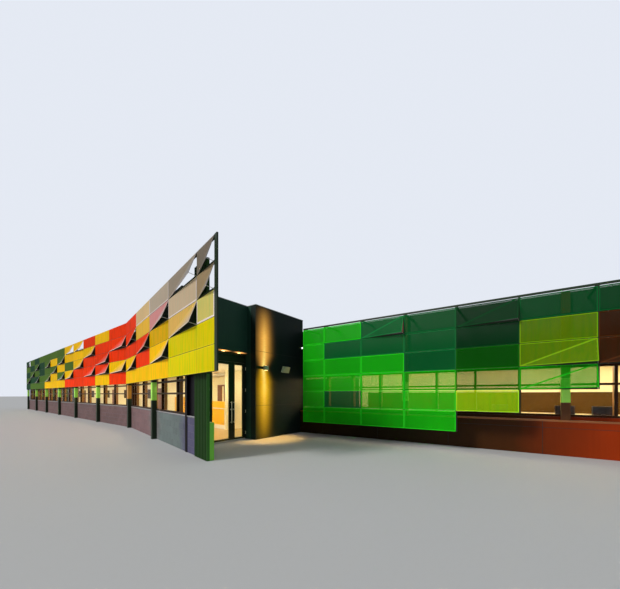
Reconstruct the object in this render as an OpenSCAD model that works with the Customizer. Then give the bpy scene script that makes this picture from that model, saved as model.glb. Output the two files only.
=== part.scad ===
/* [Entrance block] */
// Width of the lit side face, from the door corner to the right wing
block_w = 1445; // [1300:5:1600]
// Height of the entrance block, the tallest mass
block_h = 2455; // [2300:5:2700]
// How far the door plane stands back from the lit face
door_setback = 257; // [240:1:300]
// How far the fascia stands back from the lit face
fascia_setback = 217; // [190:1:235]
// Height of the soffit over the doors
soffit_h = 1590; // [1500:5:1700]
// Thickness of the soffit lining
soffit_t = 14; // [8:1:20]
// Length of the hall, from the lit face to its far wall
hall_len = 3500; // [3420:10:3800]

/* [Doors] */
// Width of the narrow leaf, at the right
narrow_leaf_w = 302; // [280:1:320]
// Width of the wide leaf, at the left
wide_leaf_w = 470; // [420:1:500]
// Height of both leaves
leaf_h = 1380; // [1300:5:1450]
// Thickness of a leaf
leaf_t = 25; // [20:1:30]
// Clearance round each leaf
leaf_gap = 5; // [5:0.5:7]
// Clearance between the two leaves
meeting_gap = 7; // [7:0.5:9]
// Width of the hinge and meeting stiles
stile_w = 58; // [45:1:70]
// Height of the bottom rail of a leaf
bottom_rail_h = 32; // [24:1:60]
// Height of the top rail of a leaf
top_rail_h = 44; // [30:1:60]
// Width of the frame member at the narrow leaf's hinges
jamb_w = 15; // [14:1:20]
// Width of the frame member between the wide leaf and the side light
mullion_w = 45; // [35:1:60]
// Width of the post where the entrance front meets the left wing
corner_post_w = 80; // [60:1:100]
// Depth of the entrance frame
entry_frame_d = 50; // [40:1:60]
// Height of the frame head over the leaves
head_h = 60; // [40:1:70]
// Thickness of the glass
glass_t = 8; // [6:1:12]
// Height of the pull handles
pull_h = 380; // [300:5:450]
// Height of the foot of the pull handles above the floor
pull_z = 300; // [250:5:350]
// Diameter of the pull handles
pull_d = 16; // [12:1:18]
// Distance of a pull handle's axis from the face of its leaf
pull_reach = 30; // [24:1:34]
// Diameter of the stand-offs of a pull handle
standoff_d = 11; // [8:1:14]
// Radius of the hinge knuckles
knuckle_r = 6; // [5:0.5:6]
// Length of a hinge knuckle
knuckle_l = 50; // [35:1:70]
// Number of hinges on a leaf
hinge_count = 4; // [3:1:4]
// Distance from an end of a leaf to its nearest hinge
hinge_inset = 75; // [60:1:120]

/* [Walls and roofs] */
// Thickness of the outer walls
wall_t = 125; // [100:1:140]
// Depth of the wings from front to back
wing_depth = 4000; // [3600:10:4400]
// Height of the left wing's walls
left_h = 2300; // [2200:5:2450]
// Height of the walls of the right wing and of the hall behind the entrance block
right_h = 2200; // [2150:5:2230]
// Height of the window sills
sill_h = 522; // [450:1:560]
// Height of the window heads
head_z = 1220; // [1150:5:1300]
// Height of the left wing's transom
left_transom_z = 840; // [780:5:900]
// Height of the left wing's upper transom
left_high_transom_z = 1042; // [1000:1:1080]
// Height of the right wing's transom
right_transom_z = 960; // [860:5:1040]
// Place of a bay's first window upright, from its post
first_upright = 375; // [300:5:450]
// Distance between the window uprights of a bay
upright_step = 875; // [800:5:900]
// Width of the windows in the back walls
back_window_w = 1920; // [1500:10:2000]
// Height of the ceilings
ceiling_h = 1385; // [1350:5:1420]
// Thickness of the ceilings
ceiling_t = 30; // [20:1:50]
// Height of the walls above the roofs
parapet_h = 100; // [60:5:180]
// Thickness of the roof slabs
roof_t = 120; // [90:1:150]
// Thickness of the floor
floor_t = 14; // [10:1:15]
// Joint between two lengths of wall, floor or roof
joint_w = 5; // [3:0.5:8]
// Width of the window frame members
frame_w = 30; // [24:1:36]
// Depth of the window frame members
frame_d = 40; // [30:1:50]
// How far the window frames stand back from the wall face
frame_setback = 24; // [12:1:36]

/* [Left wing plan] */
// Place of the near end of the left screen, along X
screen_end_x = 1232; // [1150:1:1300]
// Place of the near end of the left screen, along Y
screen_end_y = -1800; // [-1830:1:-1780]
// Angle of the near length to the right wing
near_turn = 14.4; // [13:0.1:15]
// Angle of the far length to the right wing
far_turn = 4.3; // [3:0.1:6]
// Distance from the face of the screen to the face of the wall
wall_gap = 112; // [100:1:130]
// Distance along the wing from the screen's end to the clad pier
pier_start = 522; // [490:1:560]
// Width of the clad pier
pier_w = 416; // [380:1:440]
// Depth of the clad pier
pier_d = 40; // [34:1:50]
// How far the pier stands forward of the wall
pier_forward = 20; // [10:1:30]
// Height of the clad pier
pier_h = 2520; // [2400:5:2570]
// Width of the ribs on the pier's cladding
rib_w = 16; // [12:1:20]
// Distance from rib to rib
rib_pitch = 52; // [40:1:60]
// How far a rib stands out
rib_d = 5; // [3:0.5:8]
// Width of the dark bay beside the pier
dark_bay_w = 327; // [300:1:350]
// Width of the jamb between the dark bay and the first window
jamb_post_w = 80; // [60:1:100]
// Height of the low lime wall behind the pier
lime_wall_h = 475; // [430:5:500]
// Thickness of the low lime wall
lime_wall_t = 58; // [45:1:64]
// How far the jamb beside the dark bay stands forward of the wall
jamb_forward = 12; // [6:1:16]

/* [Left screen] */
// Width of a screen sheet
sheet_w = 1200; // [1150:5:1250]
// Height of a screen sheet
sheet_h = 300; // [290:1:305]
// Thickness of a screen sheet
sheet_t = 6; // [4:0.5:8]
// Joint between two sheets
sheet_gap = 8; // [7:0.5:12]
// Height of the foot of the left screen
left_screen_z = 1081; // [1070:1:1090]
// Angle to which a folded corner is turned out
fold_angle = 21; // [10:1:40]
// Size of the frame tubes
tube = 25; // [20:1:30]
// Width of the post at the screen's near end
end_post_w = 65; // [50:1:75]
// Depth of the post at the screen's near end
end_post_d = 18; // [14:1:24]
// Radius of the struts that hold the folded corners
strut_r = 3; // [2.5:0.1:3.4]
// Width of the posts between the wall and the screen
post_w = 96; // [80:1:110]
// Height at which the lime length of a post starts
lime_z = 715; // [650:5:760]
// Height at which the lime length of a post ends
lime_top_z = 1045; // [1000:5:1060]

/* [Right wing] */
// Distance from the lit face's front edge back to the right screen
right_screen_y = 873; // [840:1:900]
// Place along X of the right screen's first whole sheet
right_first_x = 920; // [880:1:960]
// Width of a right screen sheet
right_sheet_w = 748; // [700:1:780]
// Width of the part sheet at the left end of the right screen
part_sheet_w = 492; // [460:1:520]
// Height of the top of the right screen
right_screen_top = 2120; // [2090:1:2160]
// Height of the open strip under the right screen's top rail
top_strip_h = 35; // [26:1:50]
// Place along X of the first post on the right wing's wall
right_post_x = 2275; // [2200:5:2350]
// Distance from post to post on the right wing
right_post_bay = 2150; // [2050:5:2250]
// How far the base of the right wing's wall stands forward
base_forward = 90; // [80:1:110]
// Height of the ledge on that base
ledge_z = 475; // [440:5:500]
// Depth of the posts on the right wing's wall
right_post_d = 76; // [60:1:78]
// Place of a bay's first window upright in the right wing, from its post
right_first_upright = 500; // [450:5:550]
// Distance between the window uprights of the right wing
right_upright_step = 575; // [500:5:600]

/* [Fittings] */
// Width of the up and down light
wall_light_w = 95; // [80:1:110]
// Height of the up and down light
wall_light_h = 85; // [70:1:100]
// Width of the flood light
flood_w = 200; // [170:1:230]
// Height of the flood light
flood_h = 120; // [100:1:140]
// Thickness of the flood light
flood_t = 40; // [30:1:50]
// Size of the flood light's bracket
flood_arm = 40; // [30:1:50]
// How far the flood light's bracket stands out
flood_reach = 60; // [45:1:80]
// Radius of the small round light
small_light_r = 22; // [18:1:28]
// Height of the reception counter
counter_h = 640; // [560:5:680]
// Length of the reception counter
counter_l = 1500; // [1300:10:1600]
// Depth of the reception counter
counter_d = 330; // [280:5:380]
// Height of the work benches in the right wing
bench_h = 450; // [400:5:480]
// Depth of the work benches
bench_d = 350; // [300:5:400]
// Thickness of the tops of the work benches
bench_top_t = 20; // [15:1:40]
// Number of legs under the work benches
bench_legs = 6; // [4:1:8]
// Thickness of the inner walls
inner_t = 60; // [50:1:70]
// Distance from the screen to the corridor wall of the left wing
corridor_o = 2250; // [2150:10:2500]
// Place along Y of the corridor wall of the right wing
right_corridor_y = 4300; // [4000:10:4500]

/* [Hidden] */
$fn = 48;

// Overlap that fuses two solids of one piece
bite = 1;
// A length past every cut, so that each cut goes right through
past = 40;
// How far the hinge pins stand past the edge of the gap between leaf and frame
hinge_side = 1;
// Clearance where two pieces meet on a slanted face
seat = 0.5;

// Sheets of the left screen, one string a column from the near end, its letters from top to bottom:
// l lime, y yellow, r red, g green, d dark green, and a capital letter for a sheet with a folded corner
near_columns = ["YYlll", "YyYll", "yRyYy", "yyRry", "rRrYy"];
far_columns = ["rRrYr", "yrRRy", "rYrRr", "YyYrr", "YygYr", "gGyGy", "gyGyy", "gGgGy", "gddgg", "dGgDg",
    "gdGdg", "DgdGd"];
// Sheets of the right screen in the same letters, which stop at rising heights
right_columns = ["gggggg", "gdggdg", "Ddgggg", "dddggg", "Ddggl", "dlLG", "drR", "dgD", "gdG"];

// Left wing, along the screen
near_count = len(near_columns);
far_count = len(far_columns);
near_len = (near_count - 0.5) * sheet_w;
far_len = far_count * sheet_w;
row_count = len(near_columns[0]);
left_screen_h = row_count * sheet_h;
half_turn = (near_turn - far_turn) / 2;
bend_x = screen_end_x - near_len * cos(near_turn);
bend_y = screen_end_y + near_len * sin(near_turn);

// Left wing, across it
wall_in = wall_gap + wall_t;
room_front = wall_in + seat;
ceiling_top = ceiling_h + ceiling_t;
back_out = wall_gap + wing_depth;
back_in = back_out - wall_t;
frame_back = wall_gap + frame_setback + frame_d;
post_front = sheet_t + tube;
pier_front = wall_gap - pier_forward;
pier_back = pier_front + pier_d;
left_bay = 2 * sheet_w;
bay_start = pier_start + pier_w;
// Uprights of a bay of window band, as lengths from its post
upright_places = [for (k = [0 : 2]) first_upright + k * upright_step];
bend_post_d = wall_gap / cos(half_turn) - post_w / 2 * tan(half_turn) - post_front / cos(half_turn);
back_window_start = (left_bay - back_window_w) / 2;
window_start = bay_start + dark_bay_w + jamb_post_w;
left_transoms = [left_transom_z, left_high_transom_z];

// Entrance and hall
leaf_out = -door_setback;
leaf_in = leaf_out - leaf_t;
frame_out = leaf_out - leaf_gap;
frame_in = frame_out - entry_frame_d;
hinge_out = knuckle_r + 1;
leaf_z = floor_t + leaf_gap;
leaf_top = leaf_z + leaf_h;
frame_mid = frame_in + (entry_frame_d - glass_t) / 2;
narrow_hinge_y = -jamb_w - leaf_gap;
narrow_meet_y = narrow_hinge_y - narrow_leaf_w;
wide_meet_y = narrow_meet_y - meeting_gap;
wide_hinge_y = wide_meet_y - wide_leaf_w;
mullion_y = wide_hinge_y - leaf_gap - mullion_w;
corner_y = near_y(frame_in, wall_in) + corner_post_w;
hall_x = -hall_len;
hall_front = far_y(hall_x, back_in);
hall_in_x = hall_x + wall_t;
side_in_x = -wall_t;

// Right wing
right_wall_in = block_w + wall_t;
right_back = block_w + wing_depth;
right_back_in = right_back - wall_t;
right_count = len(right_columns);
right_len = right_first_x + (right_count - 1) * right_sheet_w;
right_end_in = right_len - wall_t;
right_screen_l = part_sheet_w + (right_count - 1) * right_sheet_w;
right_places = [for (k = [0 : 2]) right_first_upright + k * right_upright_step];
right_back_windows = 3;
low_roof_z = right_h - parapet_h - roof_t;
arm_z = right_screen_top - top_strip_h - 2 * sheet_h;
bench_x = 350;

// Places of the fittings
wall_light_y = 245;
wall_light_z = 1320;
flood_y = 760;
flood_z = 1326;
flood_tilt = 20;
small_light_y = block_w - 80;
small_light_z = 1837;
counter_t = 3400;
counter_o = 1650;
counter_step = 160;
reception_wall_l = 2200;

// A point in plan, given as a length along the near part and a depth into the building
function near_pt(t, o) = [screen_end_x - t * cos(near_turn) + o * sin(near_turn),
    screen_end_y + t * sin(near_turn) + o * cos(near_turn)];
// The same for the far part
function far_pt(t, o) = [bend_x - t * cos(far_turn) + o * sin(far_turn),
    bend_y + t * sin(far_turn) + o * cos(far_turn)];
// Where the near part's line at depth o crosses a line of constant X
function near_y(x, o) = screen_end_y + o * cos(near_turn)
    + (screen_end_x + o * sin(near_turn) - x) * tan(near_turn);
// The same for the far part's line
function far_y(x, o) = bend_y + o * cos(far_turn) + (bend_x + o * sin(far_turn) - x) * tan(far_turn);
// Ends of the two parts at the bend, where they are mitred
function near_end(o) = near_len + o * tan(half_turn) - joint_w / 2;
function far_start(o) = joint_w / 2 - o * tan(half_turn);
// Left edge of a left screen column, its width, and its folded letter
function near_col_t(i) = i == 0 ? end_post_w : (i - 0.5) * sheet_w;
function near_col_w(i) = i == 0 ? sheet_w / 2 - end_post_w : sheet_w;
function right_col_x(i) = i == 0 ? right_first_x - part_sheet_w : right_first_x + (i - 1) * right_sheet_w;
function right_col_w(i) = i == 0 ? part_sheet_w : right_sheet_w;
function near_bay(k) = (0.5 + 2 * k) * sheet_w;
function hinge_z(k) = hinge_inset + k * (leaf_h - 2 * hinge_inset - knuckle_l) / (hinge_count - 1);
function is_folded(letter) = ord(letter) < ord("a");
function plain(letter) = is_folded(letter) ? chr(ord(letter) + ord("a") - ord("A")) : letter;

// Places a child along the near part: X runs along it from the screen's end, Y goes into the building
module on_near() {
    translate([screen_end_x, screen_end_y, 0]) rotate(-near_turn) mirror([1, 0, 0]) children();
}

module on_far() {
    translate([bend_x, bend_y, 0]) rotate(-far_turn) mirror([1, 0, 0]) children();
}

// A length of the near part's wall in plan, from t to the bend
module near_strip(t, o0, o1) {
    polygon([[t, o0], [near_end(o0), o0], [near_end(o1), o1], [t, o1]]);
}

// A length of the far part's wall in plan, from the bend to t
module far_strip(t, o0, o1) {
    polygon([[far_start(o0), o0], [t, o0], [t, o1], [far_start(o1), o1]]);
}

module slab(z, h) {
    translate([0, 0, z]) linear_extrude(h) children();
}

// The rooms in plan, between the inner faces of the walls
module near_room() {
    polygon([[frame_in, near_y(frame_in, room_front)], near_pt(near_end(room_front), room_front),
        [hall_x, hall_front], [hall_in_x, hall_front]]);
}

module far_room() {
    polygon([far_pt(far_start(room_front), room_front), far_pt(far_len - wall_t - seat, room_front),
        far_pt(far_len - wall_t - seat, back_in - seat),
        [hall_x - joint_w, far_y(hall_x - joint_w, back_in - seat)]]);
}

module hall_room() {
    polygon([[frame_in, near_y(frame_in, room_front) + joint_w], [frame_in, right_back_in],
        [hall_in_x, right_back_in], [hall_in_x, hall_front + joint_w]]);
}

// The strip of the hall behind the lit face, l long
module side_strip(l) {
    translate([frame_in + joint_w, wall_t]) square([side_in_x - frame_in - joint_w, l]);
}

module right_room() {
    translate([frame_in + joint_w, right_wall_in])
        square([right_end_in - frame_in - joint_w, right_back_in - right_wall_in]);
}

module all_rooms() {
    near_room();
    far_room();
    hall_room();
    side_strip(block_w - joint_w);
    right_room();
}

// The part of the near room that lies between two places along X
module near_room_between(x0, x1) {
    intersection() {
        near_room();
        translate([x0, screen_end_y]) square([x1 - x0, right_back - screen_end_y]);
    }
}

module floors() color("tan") slab(0, floor_t) all_rooms();

module ceilings() color("ivory") slab(ceiling_h, ceiling_t) all_rooms();

module left_roof() color("dimgray") slab(left_h - parapet_h - roof_t, roof_t) {
    near_room_between(hall_x - wing_depth, hall_x);
    far_room();
}

// The hall in plan between two places along Y
module hall_between(y0, y1) {
    intersection() {
        union() {
            near_room_between(hall_in_x, frame_in);
            hall_room();
            side_strip(right_back_in - wall_t);
        }
        translate([hall_in_x, y0]) square([-hall_in_x, y1 - y0]);
    }
}

// A high roof over the entrance block and a low one over the hall behind it
module hall_roof() color("dimgray") {
    slab(block_h - parapet_h - roof_t, roof_t) hall_between(screen_end_y, block_w - wall_t);
    slab(low_roof_z, roof_t) hall_between(block_w, right_back);
}

module right_roof() color("dimgray") slab(low_roof_z, roof_t)
    translate([0, right_wall_in]) square([right_end_in, right_back_in - right_wall_in]);

// Low wall of blocks under the left wing's windows
module block_wall() color("slategray") {
    on_near() slab(0, sill_h) near_strip(bay_start, wall_gap, wall_in);
    on_far() slab(0, sill_h) far_strip(far_len, wall_gap, wall_in);
}

module lime_wall_end() color("yellowgreen") on_near()
    translate([pier_start, pier_back, 0]) cube([pier_w - seat, lime_wall_t, lime_wall_h]);

module left_upper_wall() color("darkolivegreen") {
    on_near() slab(head_z, left_h - head_z) near_strip(bay_start, wall_gap, wall_in);
    on_far() slab(head_z, left_h - head_z) far_strip(far_len, wall_gap, wall_in);
}

// A member along a window band, X along the wall
module sill_member(x0, x1, z) {
    translate([x0, 0, z]) cube([x1 - x0, frame_d, frame_w]);
}

module upright_member(x, w) {
    translate([x - w / 2, 0, sill_h]) cube([w, frame_d, head_z - sill_h]);
}

// A window band: sill, head and transoms with uprights at the places given
module window_band(x0, x1, transoms, places) {
    sill_member(x0, x1, sill_h);
    for (z = transoms) sill_member(x0, x1, z - frame_w / 2);
    sill_member(x0, x1, head_z - frame_w);
    for (x = places) upright_member(x, frame_w);
    upright_member(x0 + frame_w / 2, frame_w);
    upright_member(x1 - frame_w / 2, frame_w);
}

module left_window_frames() color("saddlebrown") {
    on_near() translate([0, wall_gap + frame_setback, 0]) {
        window_band(window_start, near_end(wall_gap), left_transoms,
            [for (k = [0 : 1], u = upright_places) if (near_bay(k) + u > window_start + frame_w
                && near_bay(k) + u < near_end(wall_gap) - frame_w) near_bay(k) + u]);
    }
    on_far() translate([0, wall_gap + frame_setback, 0])
        window_band(joint_w, far_len - wall_t, left_transoms,
            [for (k = [0 : far_count / 2 - 1], u = upright_places)
                if (k * left_bay + u < far_len - wall_t - frame_w) k * left_bay + u]);
}

module left_glass() color("lightyellow", 0.4) {
    on_near() slab(sill_h, head_z - sill_h)
        polygon([[window_start, frame_back], [near_end(frame_back), frame_back],
            [near_end(frame_back + glass_t), frame_back + glass_t], [window_start, frame_back + glass_t]]);
    on_far() slab(sill_h, head_z - sill_h) far_strip(far_len - wall_t, frame_back, frame_back + glass_t);
}

// Clad pier under the overhanging end of the screen, with upright ribs
module screen_pier() color("darkgreen") on_near() translate([pier_start, pier_front, 0]) {
    translate([0, rib_d, 0]) cube([pier_w, pier_d - rib_d, pier_h]);
    for (x = [rib_pitch - rib_w : rib_pitch : pier_w - rib_w])
        translate([x, 0, 0]) cube([rib_w, rib_d + bite, pier_h]);
}

// Dark infill over the low wall between the pier and the first window, with its jamb
module dark_bay_panel() color("black") on_near() {
    translate([bay_start, wall_gap + frame_setback, sill_h]) cube([dark_bay_w, frame_d, head_z - sill_h]);
    translate([bay_start + dark_bay_w, wall_gap - jamb_forward, 0]) {
        cube([jamb_post_w, jamb_forward - seat, sill_h + bite]);
        translate([-bite, 0, sill_h]) cube([jamb_post_w + bite, jamb_forward + wall_t, head_z - sill_h]);
    }
}

// The lengths of a post under and over its lime one, X across it, its back against the wall at Y 0
module post_lengths(w, d, foot, top) {
    translate([-w / 2, -d, foot]) cube([w, d - seat, lime_z - foot]);
    translate([-w / 2, -d, lime_top_z]) cube([w, d - seat, top - lime_top_z]);
}

module post_sleeve(w, d) {
    translate([-w / 2, -d, lime_z]) cube([w, d - seat, lime_top_z - lime_z]);
}

// Places a child at each post of the left wing, Y 0 on the face of the wall
module at_left_posts() {
    on_near() translate([near_bay(1), wall_gap, 0]) children();
    on_far() for (k = [1 : far_count / 2])
        translate([min(k * left_bay, far_len - post_w / 2), wall_gap, 0]) children();
}

module at_bend_post() {
    translate([bend_x, bend_y, 0]) rotate(-(near_turn + far_turn) / 2)
        translate([0, wall_gap / cos(half_turn) - post_w / 2 * tan(half_turn), 0]) children();
}

module at_right_posts() {
    for (x = [right_post_x : right_post_bay : right_end_in]) translate([x, block_w, 0]) children();
}

module wall_posts() color("darkgreen") {
    at_left_posts() post_lengths(post_w, wall_gap - post_front, 0, pier_h);
    at_bend_post() post_lengths(post_w, bend_post_d, 0, pier_h);
    at_right_posts() post_lengths(post_w, right_post_d, ledge_z, right_h);
}

module post_sleeves() color("lime") {
    at_left_posts() post_sleeve(post_w, wall_gap - post_front);
    at_bend_post() post_sleeve(post_w, bend_post_d);
    at_right_posts() post_sleeve(post_w, right_post_d);
}

module end_walls() color("darkolivegreen") {
    on_far() translate([far_len - wall_t, wall_in, 0]) cube([wall_t, back_in - wall_in, left_h]);
    translate([right_end_in, right_wall_in, 0]) cube([wall_t, right_back_in - right_wall_in, right_h]);
    translate([hall_x, hall_front, 0]) cube([wall_t, right_back_in - hall_front, right_h]);
}

// Openings for the windows of a back wall, X along the wall from its start
module back_openings(count, bay, start) {
    for (k = [0 : count - 1])
        translate([start + k * bay, -past, sill_h])
            cube([back_window_w, wall_t + 2 * past, head_z - sill_h]);
}

module back_walls() color("darkolivegreen") {
    difference() {
        slab(0, left_h) polygon([[hall_x, far_y(hall_x, back_in)], [hall_x, far_y(hall_x, back_out)],
            far_pt(far_len, back_out), far_pt(far_len, back_in)]);
        on_far() translate([0, back_in, 0]) back_openings(far_count / 2, left_bay, back_window_start);
    }
    translate([hall_x, right_back_in, 0]) cube([-hall_x - joint_w, wall_t, right_h]);
    difference() {
        translate([0, right_back_in, 0]) cube([right_len, wall_t, right_h]);
        translate([0, right_back_in, 0]) back_openings(right_back_windows, left_bay, back_window_start);
    }
}

// Frame of a back window, with two lights
module window_light(w) {
    light_w = (w - 3 * frame_w) / 2;
    translate([0, 0, sill_h]) difference() {
        cube([w, frame_d, head_z - sill_h]);
        for (x = [frame_w, light_w + 2 * frame_w]) translate([x, -past, frame_w])
            cube([light_w, frame_d + 2 * past, head_z - sill_h - 2 * frame_w]);
    }
}

module back_glazing(count, bay, start) {
    for (k = [0 : count - 1]) translate([start + k * bay, wall_t / 2 - glass_t, sill_h])
        cube([back_window_w, glass_t, head_z - sill_h]);
}

module back_window_frames() color("saddlebrown") {
    on_far() translate([back_window_start, back_in + wall_t / 2, 0])
        for (k = [0 : far_count / 2 - 1]) translate([k * left_bay, 0, 0]) window_light(back_window_w);
    translate([back_window_start, right_back_in + wall_t / 2, 0])
        for (k = [0 : right_back_windows - 1]) translate([k * left_bay, 0, 0]) window_light(back_window_w);
}

module back_glass() color("lightyellow", 0.4) {
    on_far() translate([0, back_in, 0]) back_glazing(far_count / 2, left_bay, back_window_start);
    translate([0, right_back_in, 0]) back_glazing(right_back_windows, left_bay, back_window_start);
}

// The lit face beside the doors
module hall_side_wall() color("dimgray") translate([side_in_x, 0, 0]) {
    cube([wall_t, block_w, block_h]);
    translate([0, block_w - bite, 0]) cube([wall_t, wall_t + bite, right_h]);
}

module entrance_return() color("dimgray") translate([frame_in, 0, 0])
    cube([side_in_x - frame_in, wall_t, block_h]);

// Walls above the ceilings round the entrance block and between the hall and the wings
module hall_parapets() color("dimgray") {
    translate([side_in_x, right_wall_in, ceiling_top])
        cube([wall_t, right_back_in - right_wall_in, right_h - ceiling_top]);
    translate([hall_in_x - bite, block_w - wall_t, low_roof_z])
        cube([side_in_x - hall_in_x + bite, wall_t, block_h - low_roof_z]);
    slab(ceiling_top, block_h - ceiling_top) polygon([[hall_x, near_y(hall_x, wall_in) + joint_w],
        [hall_in_x, near_y(hall_in_x, wall_in) + joint_w], [hall_in_x, block_w], [hall_x, block_w]]);
    translate([hall_x, block_w - bite, ceiling_top])
        cube([wall_t, hall_front - block_w + bite, left_h - ceiling_top]);
    slab(left_h, block_h - left_h) polygon([[-fascia_setback, near_y(-fascia_setback, wall_gap)],
        [-fascia_setback, near_y(-fascia_setback, wall_in)], [hall_x, near_y(hall_x, wall_in)],
        [hall_x, near_y(hall_x, wall_gap)]]);
}

module entrance_fascia() color("dimgray") slab(soffit_h, block_h - soffit_h)
    polygon([[-fascia_setback, near_y(-fascia_setback, room_front)], [-fascia_setback, 0], [frame_in, 0],
        [frame_in, near_y(frame_in, room_front)]]);

module entrance_soffit() color("dimgray") slab(soffit_h - soffit_t, soffit_t)
    polygon([[-fascia_setback, near_y(-fascia_setback, room_front)], [-fascia_setback, 0], [frame_out, 0],
        [frame_out, near_y(frame_out, room_front)]]);

// Frame round the doors and the side light, with a blind panel over them
module entrance_frame() color("darkgreen") {
    translate([frame_in, -jamb_w, 0]) cube([entry_frame_d, jamb_w, soffit_h]);
    translate([frame_in, mullion_y, 0]) cube([entry_frame_d, mullion_w, soffit_h]);
    slab(0, soffit_h) polygon([[frame_out, near_y(frame_out, room_front)], [frame_out, corner_y],
        [frame_in, corner_y], [frame_in, near_y(frame_in, room_front)]]);
    translate([frame_mid, corner_y - bite, leaf_top + leaf_gap])
        cube([glass_t, -corner_y + bite, soffit_h - leaf_top - leaf_gap]);
    for (z = [leaf_top + leaf_gap, soffit_h - head_h]) translate([frame_in, corner_y - bite, z])
        cube([entry_frame_d, -corner_y + bite, head_h]);
    translate([frame_in, corner_y - bite, 0])
        cube([entry_frame_d, mullion_y - corner_y + 2 * bite, leaf_z + bottom_rail_h]);
}

module entrance_glass() color("lightyellow", 0.4) {
    translate([frame_mid, corner_y + seat, leaf_z + bottom_rail_h])
        cube([glass_t, mullion_y - corner_y - 2 * seat, leaf_top + leaf_gap - leaf_z - bottom_rail_h]);
}

module door_threshold() color("gray") translate([frame_in, mullion_y + mullion_w, 0])
    cube([entry_frame_d, -jamb_w - mullion_y - mullion_w, floor_t]);

// A leaf with its hinge stile at Y 0 and its meeting stile at Y w, its outer face at X 0
module leaf(w) {
    difference() {
        translate([-leaf_t, 0, 0]) cube([leaf_t, w, leaf_h]);
        translate([-leaf_t - past, stile_w, bottom_rail_h])
            cube([leaf_t + 2 * past, w - 2 * stile_w, leaf_h - bottom_rail_h - top_rail_h]);
    }
    for (k = [0 : hinge_count - 1]) translate([hinge_out, -leaf_gap - hinge_side, hinge_z(k)]) {
        cylinder(h = knuckle_l, r = knuckle_r);
        translate([-hinge_out - bite, 0, 0])
            cube([hinge_out + bite, knuckle_r + stile_w / 2, knuckle_l]);
    }
}

module leaf_glass(w) {
    translate([-(leaf_t + glass_t) / 2, stile_w, bottom_rail_h])
        cube([glass_t, w - 2 * stile_w, leaf_h - bottom_rail_h - top_rail_h]);
}

// A pull of round bar on two stand-offs
module pull(w) {
    translate([pull_reach, w - stile_w / 2, pull_z]) cylinder(h = pull_h, d = pull_d);
    for (z = [pull_z + pull_d, pull_z + pull_h - pull_d])
        translate([0, w - stile_w / 2, z]) rotate([0, 90, 0]) cylinder(h = pull_reach, d = standoff_d);
}

module on_narrow() {
    translate([leaf_out, narrow_hinge_y, leaf_z]) mirror([0, 1, 0]) children();
}

module on_wide() {
    translate([leaf_out, wide_hinge_y, leaf_z]) children();
}

module right_door() color("darkgreen") on_narrow() leaf(narrow_leaf_w);

module right_door_glass() color("lightyellow", 0.4) on_narrow() leaf_glass(narrow_leaf_w);

module right_door_pull() color("silver") on_narrow() pull(narrow_leaf_w);

module left_door() color("darkgreen") on_wide() leaf(wide_leaf_w);

module left_door_glass() color("lightyellow", 0.4) on_wide() leaf_glass(wide_leaf_w);

module left_door_pull() color("silver") on_wide() pull(wide_leaf_w);

// Up and down light, flood light and small light on the lit face
module wall_lights() color("silver") {
    translate([0, wall_light_y - wall_light_w / 2, wall_light_z - wall_light_h / 2])
        cube([wall_light_w / 2, wall_light_w, wall_light_h]);
    translate([0, flood_y, flood_z]) {
        translate([0, -flood_arm / 2, -flood_arm / 2]) cube([flood_reach, flood_arm, flood_arm]);
        translate([flood_reach - bite, 0, 0]) rotate([0, flood_tilt, 0])
            translate([0, -flood_w / 2, -flood_h / 2]) cube([flood_t, flood_w, flood_h]);
    }
    translate([0, small_light_y, small_light_z]) rotate([0, 90, 0])
        cylinder(h = small_light_r * 2, r = small_light_r);
}

module reception_counter() color("orange") on_near() translate([counter_t, counter_o, floor_t]) {
    cube([counter_l, counter_d, counter_h - counter_step]);
    translate([0, 0, counter_h - counter_step - bite]) cube([counter_l, counter_d / 3, counter_step + bite]);
}

module reception_wall() color("wheat") on_near()
    translate([counter_t - inner_t - joint_w, counter_o, floor_t])
        cube([inner_t, reception_wall_l, ceiling_h - floor_t]);

// Long wall of each wing's corridor, seen through the windows
module corridor_walls() color("wheat") {
    on_near() slab(floor_t, ceiling_h - floor_t)
        near_strip(counter_t, corridor_o, corridor_o + inner_t);
    on_far() slab(floor_t, ceiling_h - floor_t) far_strip(far_len - wall_t, corridor_o, corridor_o + inner_t);
    translate([joint_w, right_corridor_y, floor_t])
        cube([right_end_in - joint_w, inner_t, ceiling_h - floor_t]);
}

module work_benches() color("wheat") translate([bench_x, right_wall_in + frame_d, floor_t]) {
    translate([0, 0, bench_h - bench_top_t]) cube([right_end_in - 2 * bench_x, bench_d, bench_top_t]);
    for (k = [0 : bench_legs - 1])
        translate([k * (right_end_in - 2 * bench_x - inner_t) / (bench_legs - 1), 0, 0])
            cube([inner_t, bench_d, bench_h - bench_top_t + bite]);
}

// Low wall under the right wing's windows, its base standing forward with a ledge that carries the posts
module right_base_wall() color("dimgray") translate([0, block_w, 0]) {
    cube([right_len, wall_t, sill_h]);
    translate([0, -base_forward, 0]) cube([right_len, base_forward + bite, ledge_z]);
}

module right_upper_wall() color("dimgray") translate([0, block_w, head_z])
    cube([right_len, wall_t, right_h - head_z]);

module right_window_frames() color("saddlebrown") translate([0, block_w + frame_setback, 0])
    window_band(0, right_len, [right_transom_z],
        [for (x = [right_post_x - right_post_bay : right_post_bay : right_len], u = right_places)
            if (x + u > 2 * frame_w && x + u < right_len - 2 * frame_w) x + u]);

module right_glass() color("lightyellow", 0.4)
    translate([0, block_w + frame_setback + frame_d, sill_h]) cube([right_len, glass_t, head_z - sill_h]);

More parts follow.
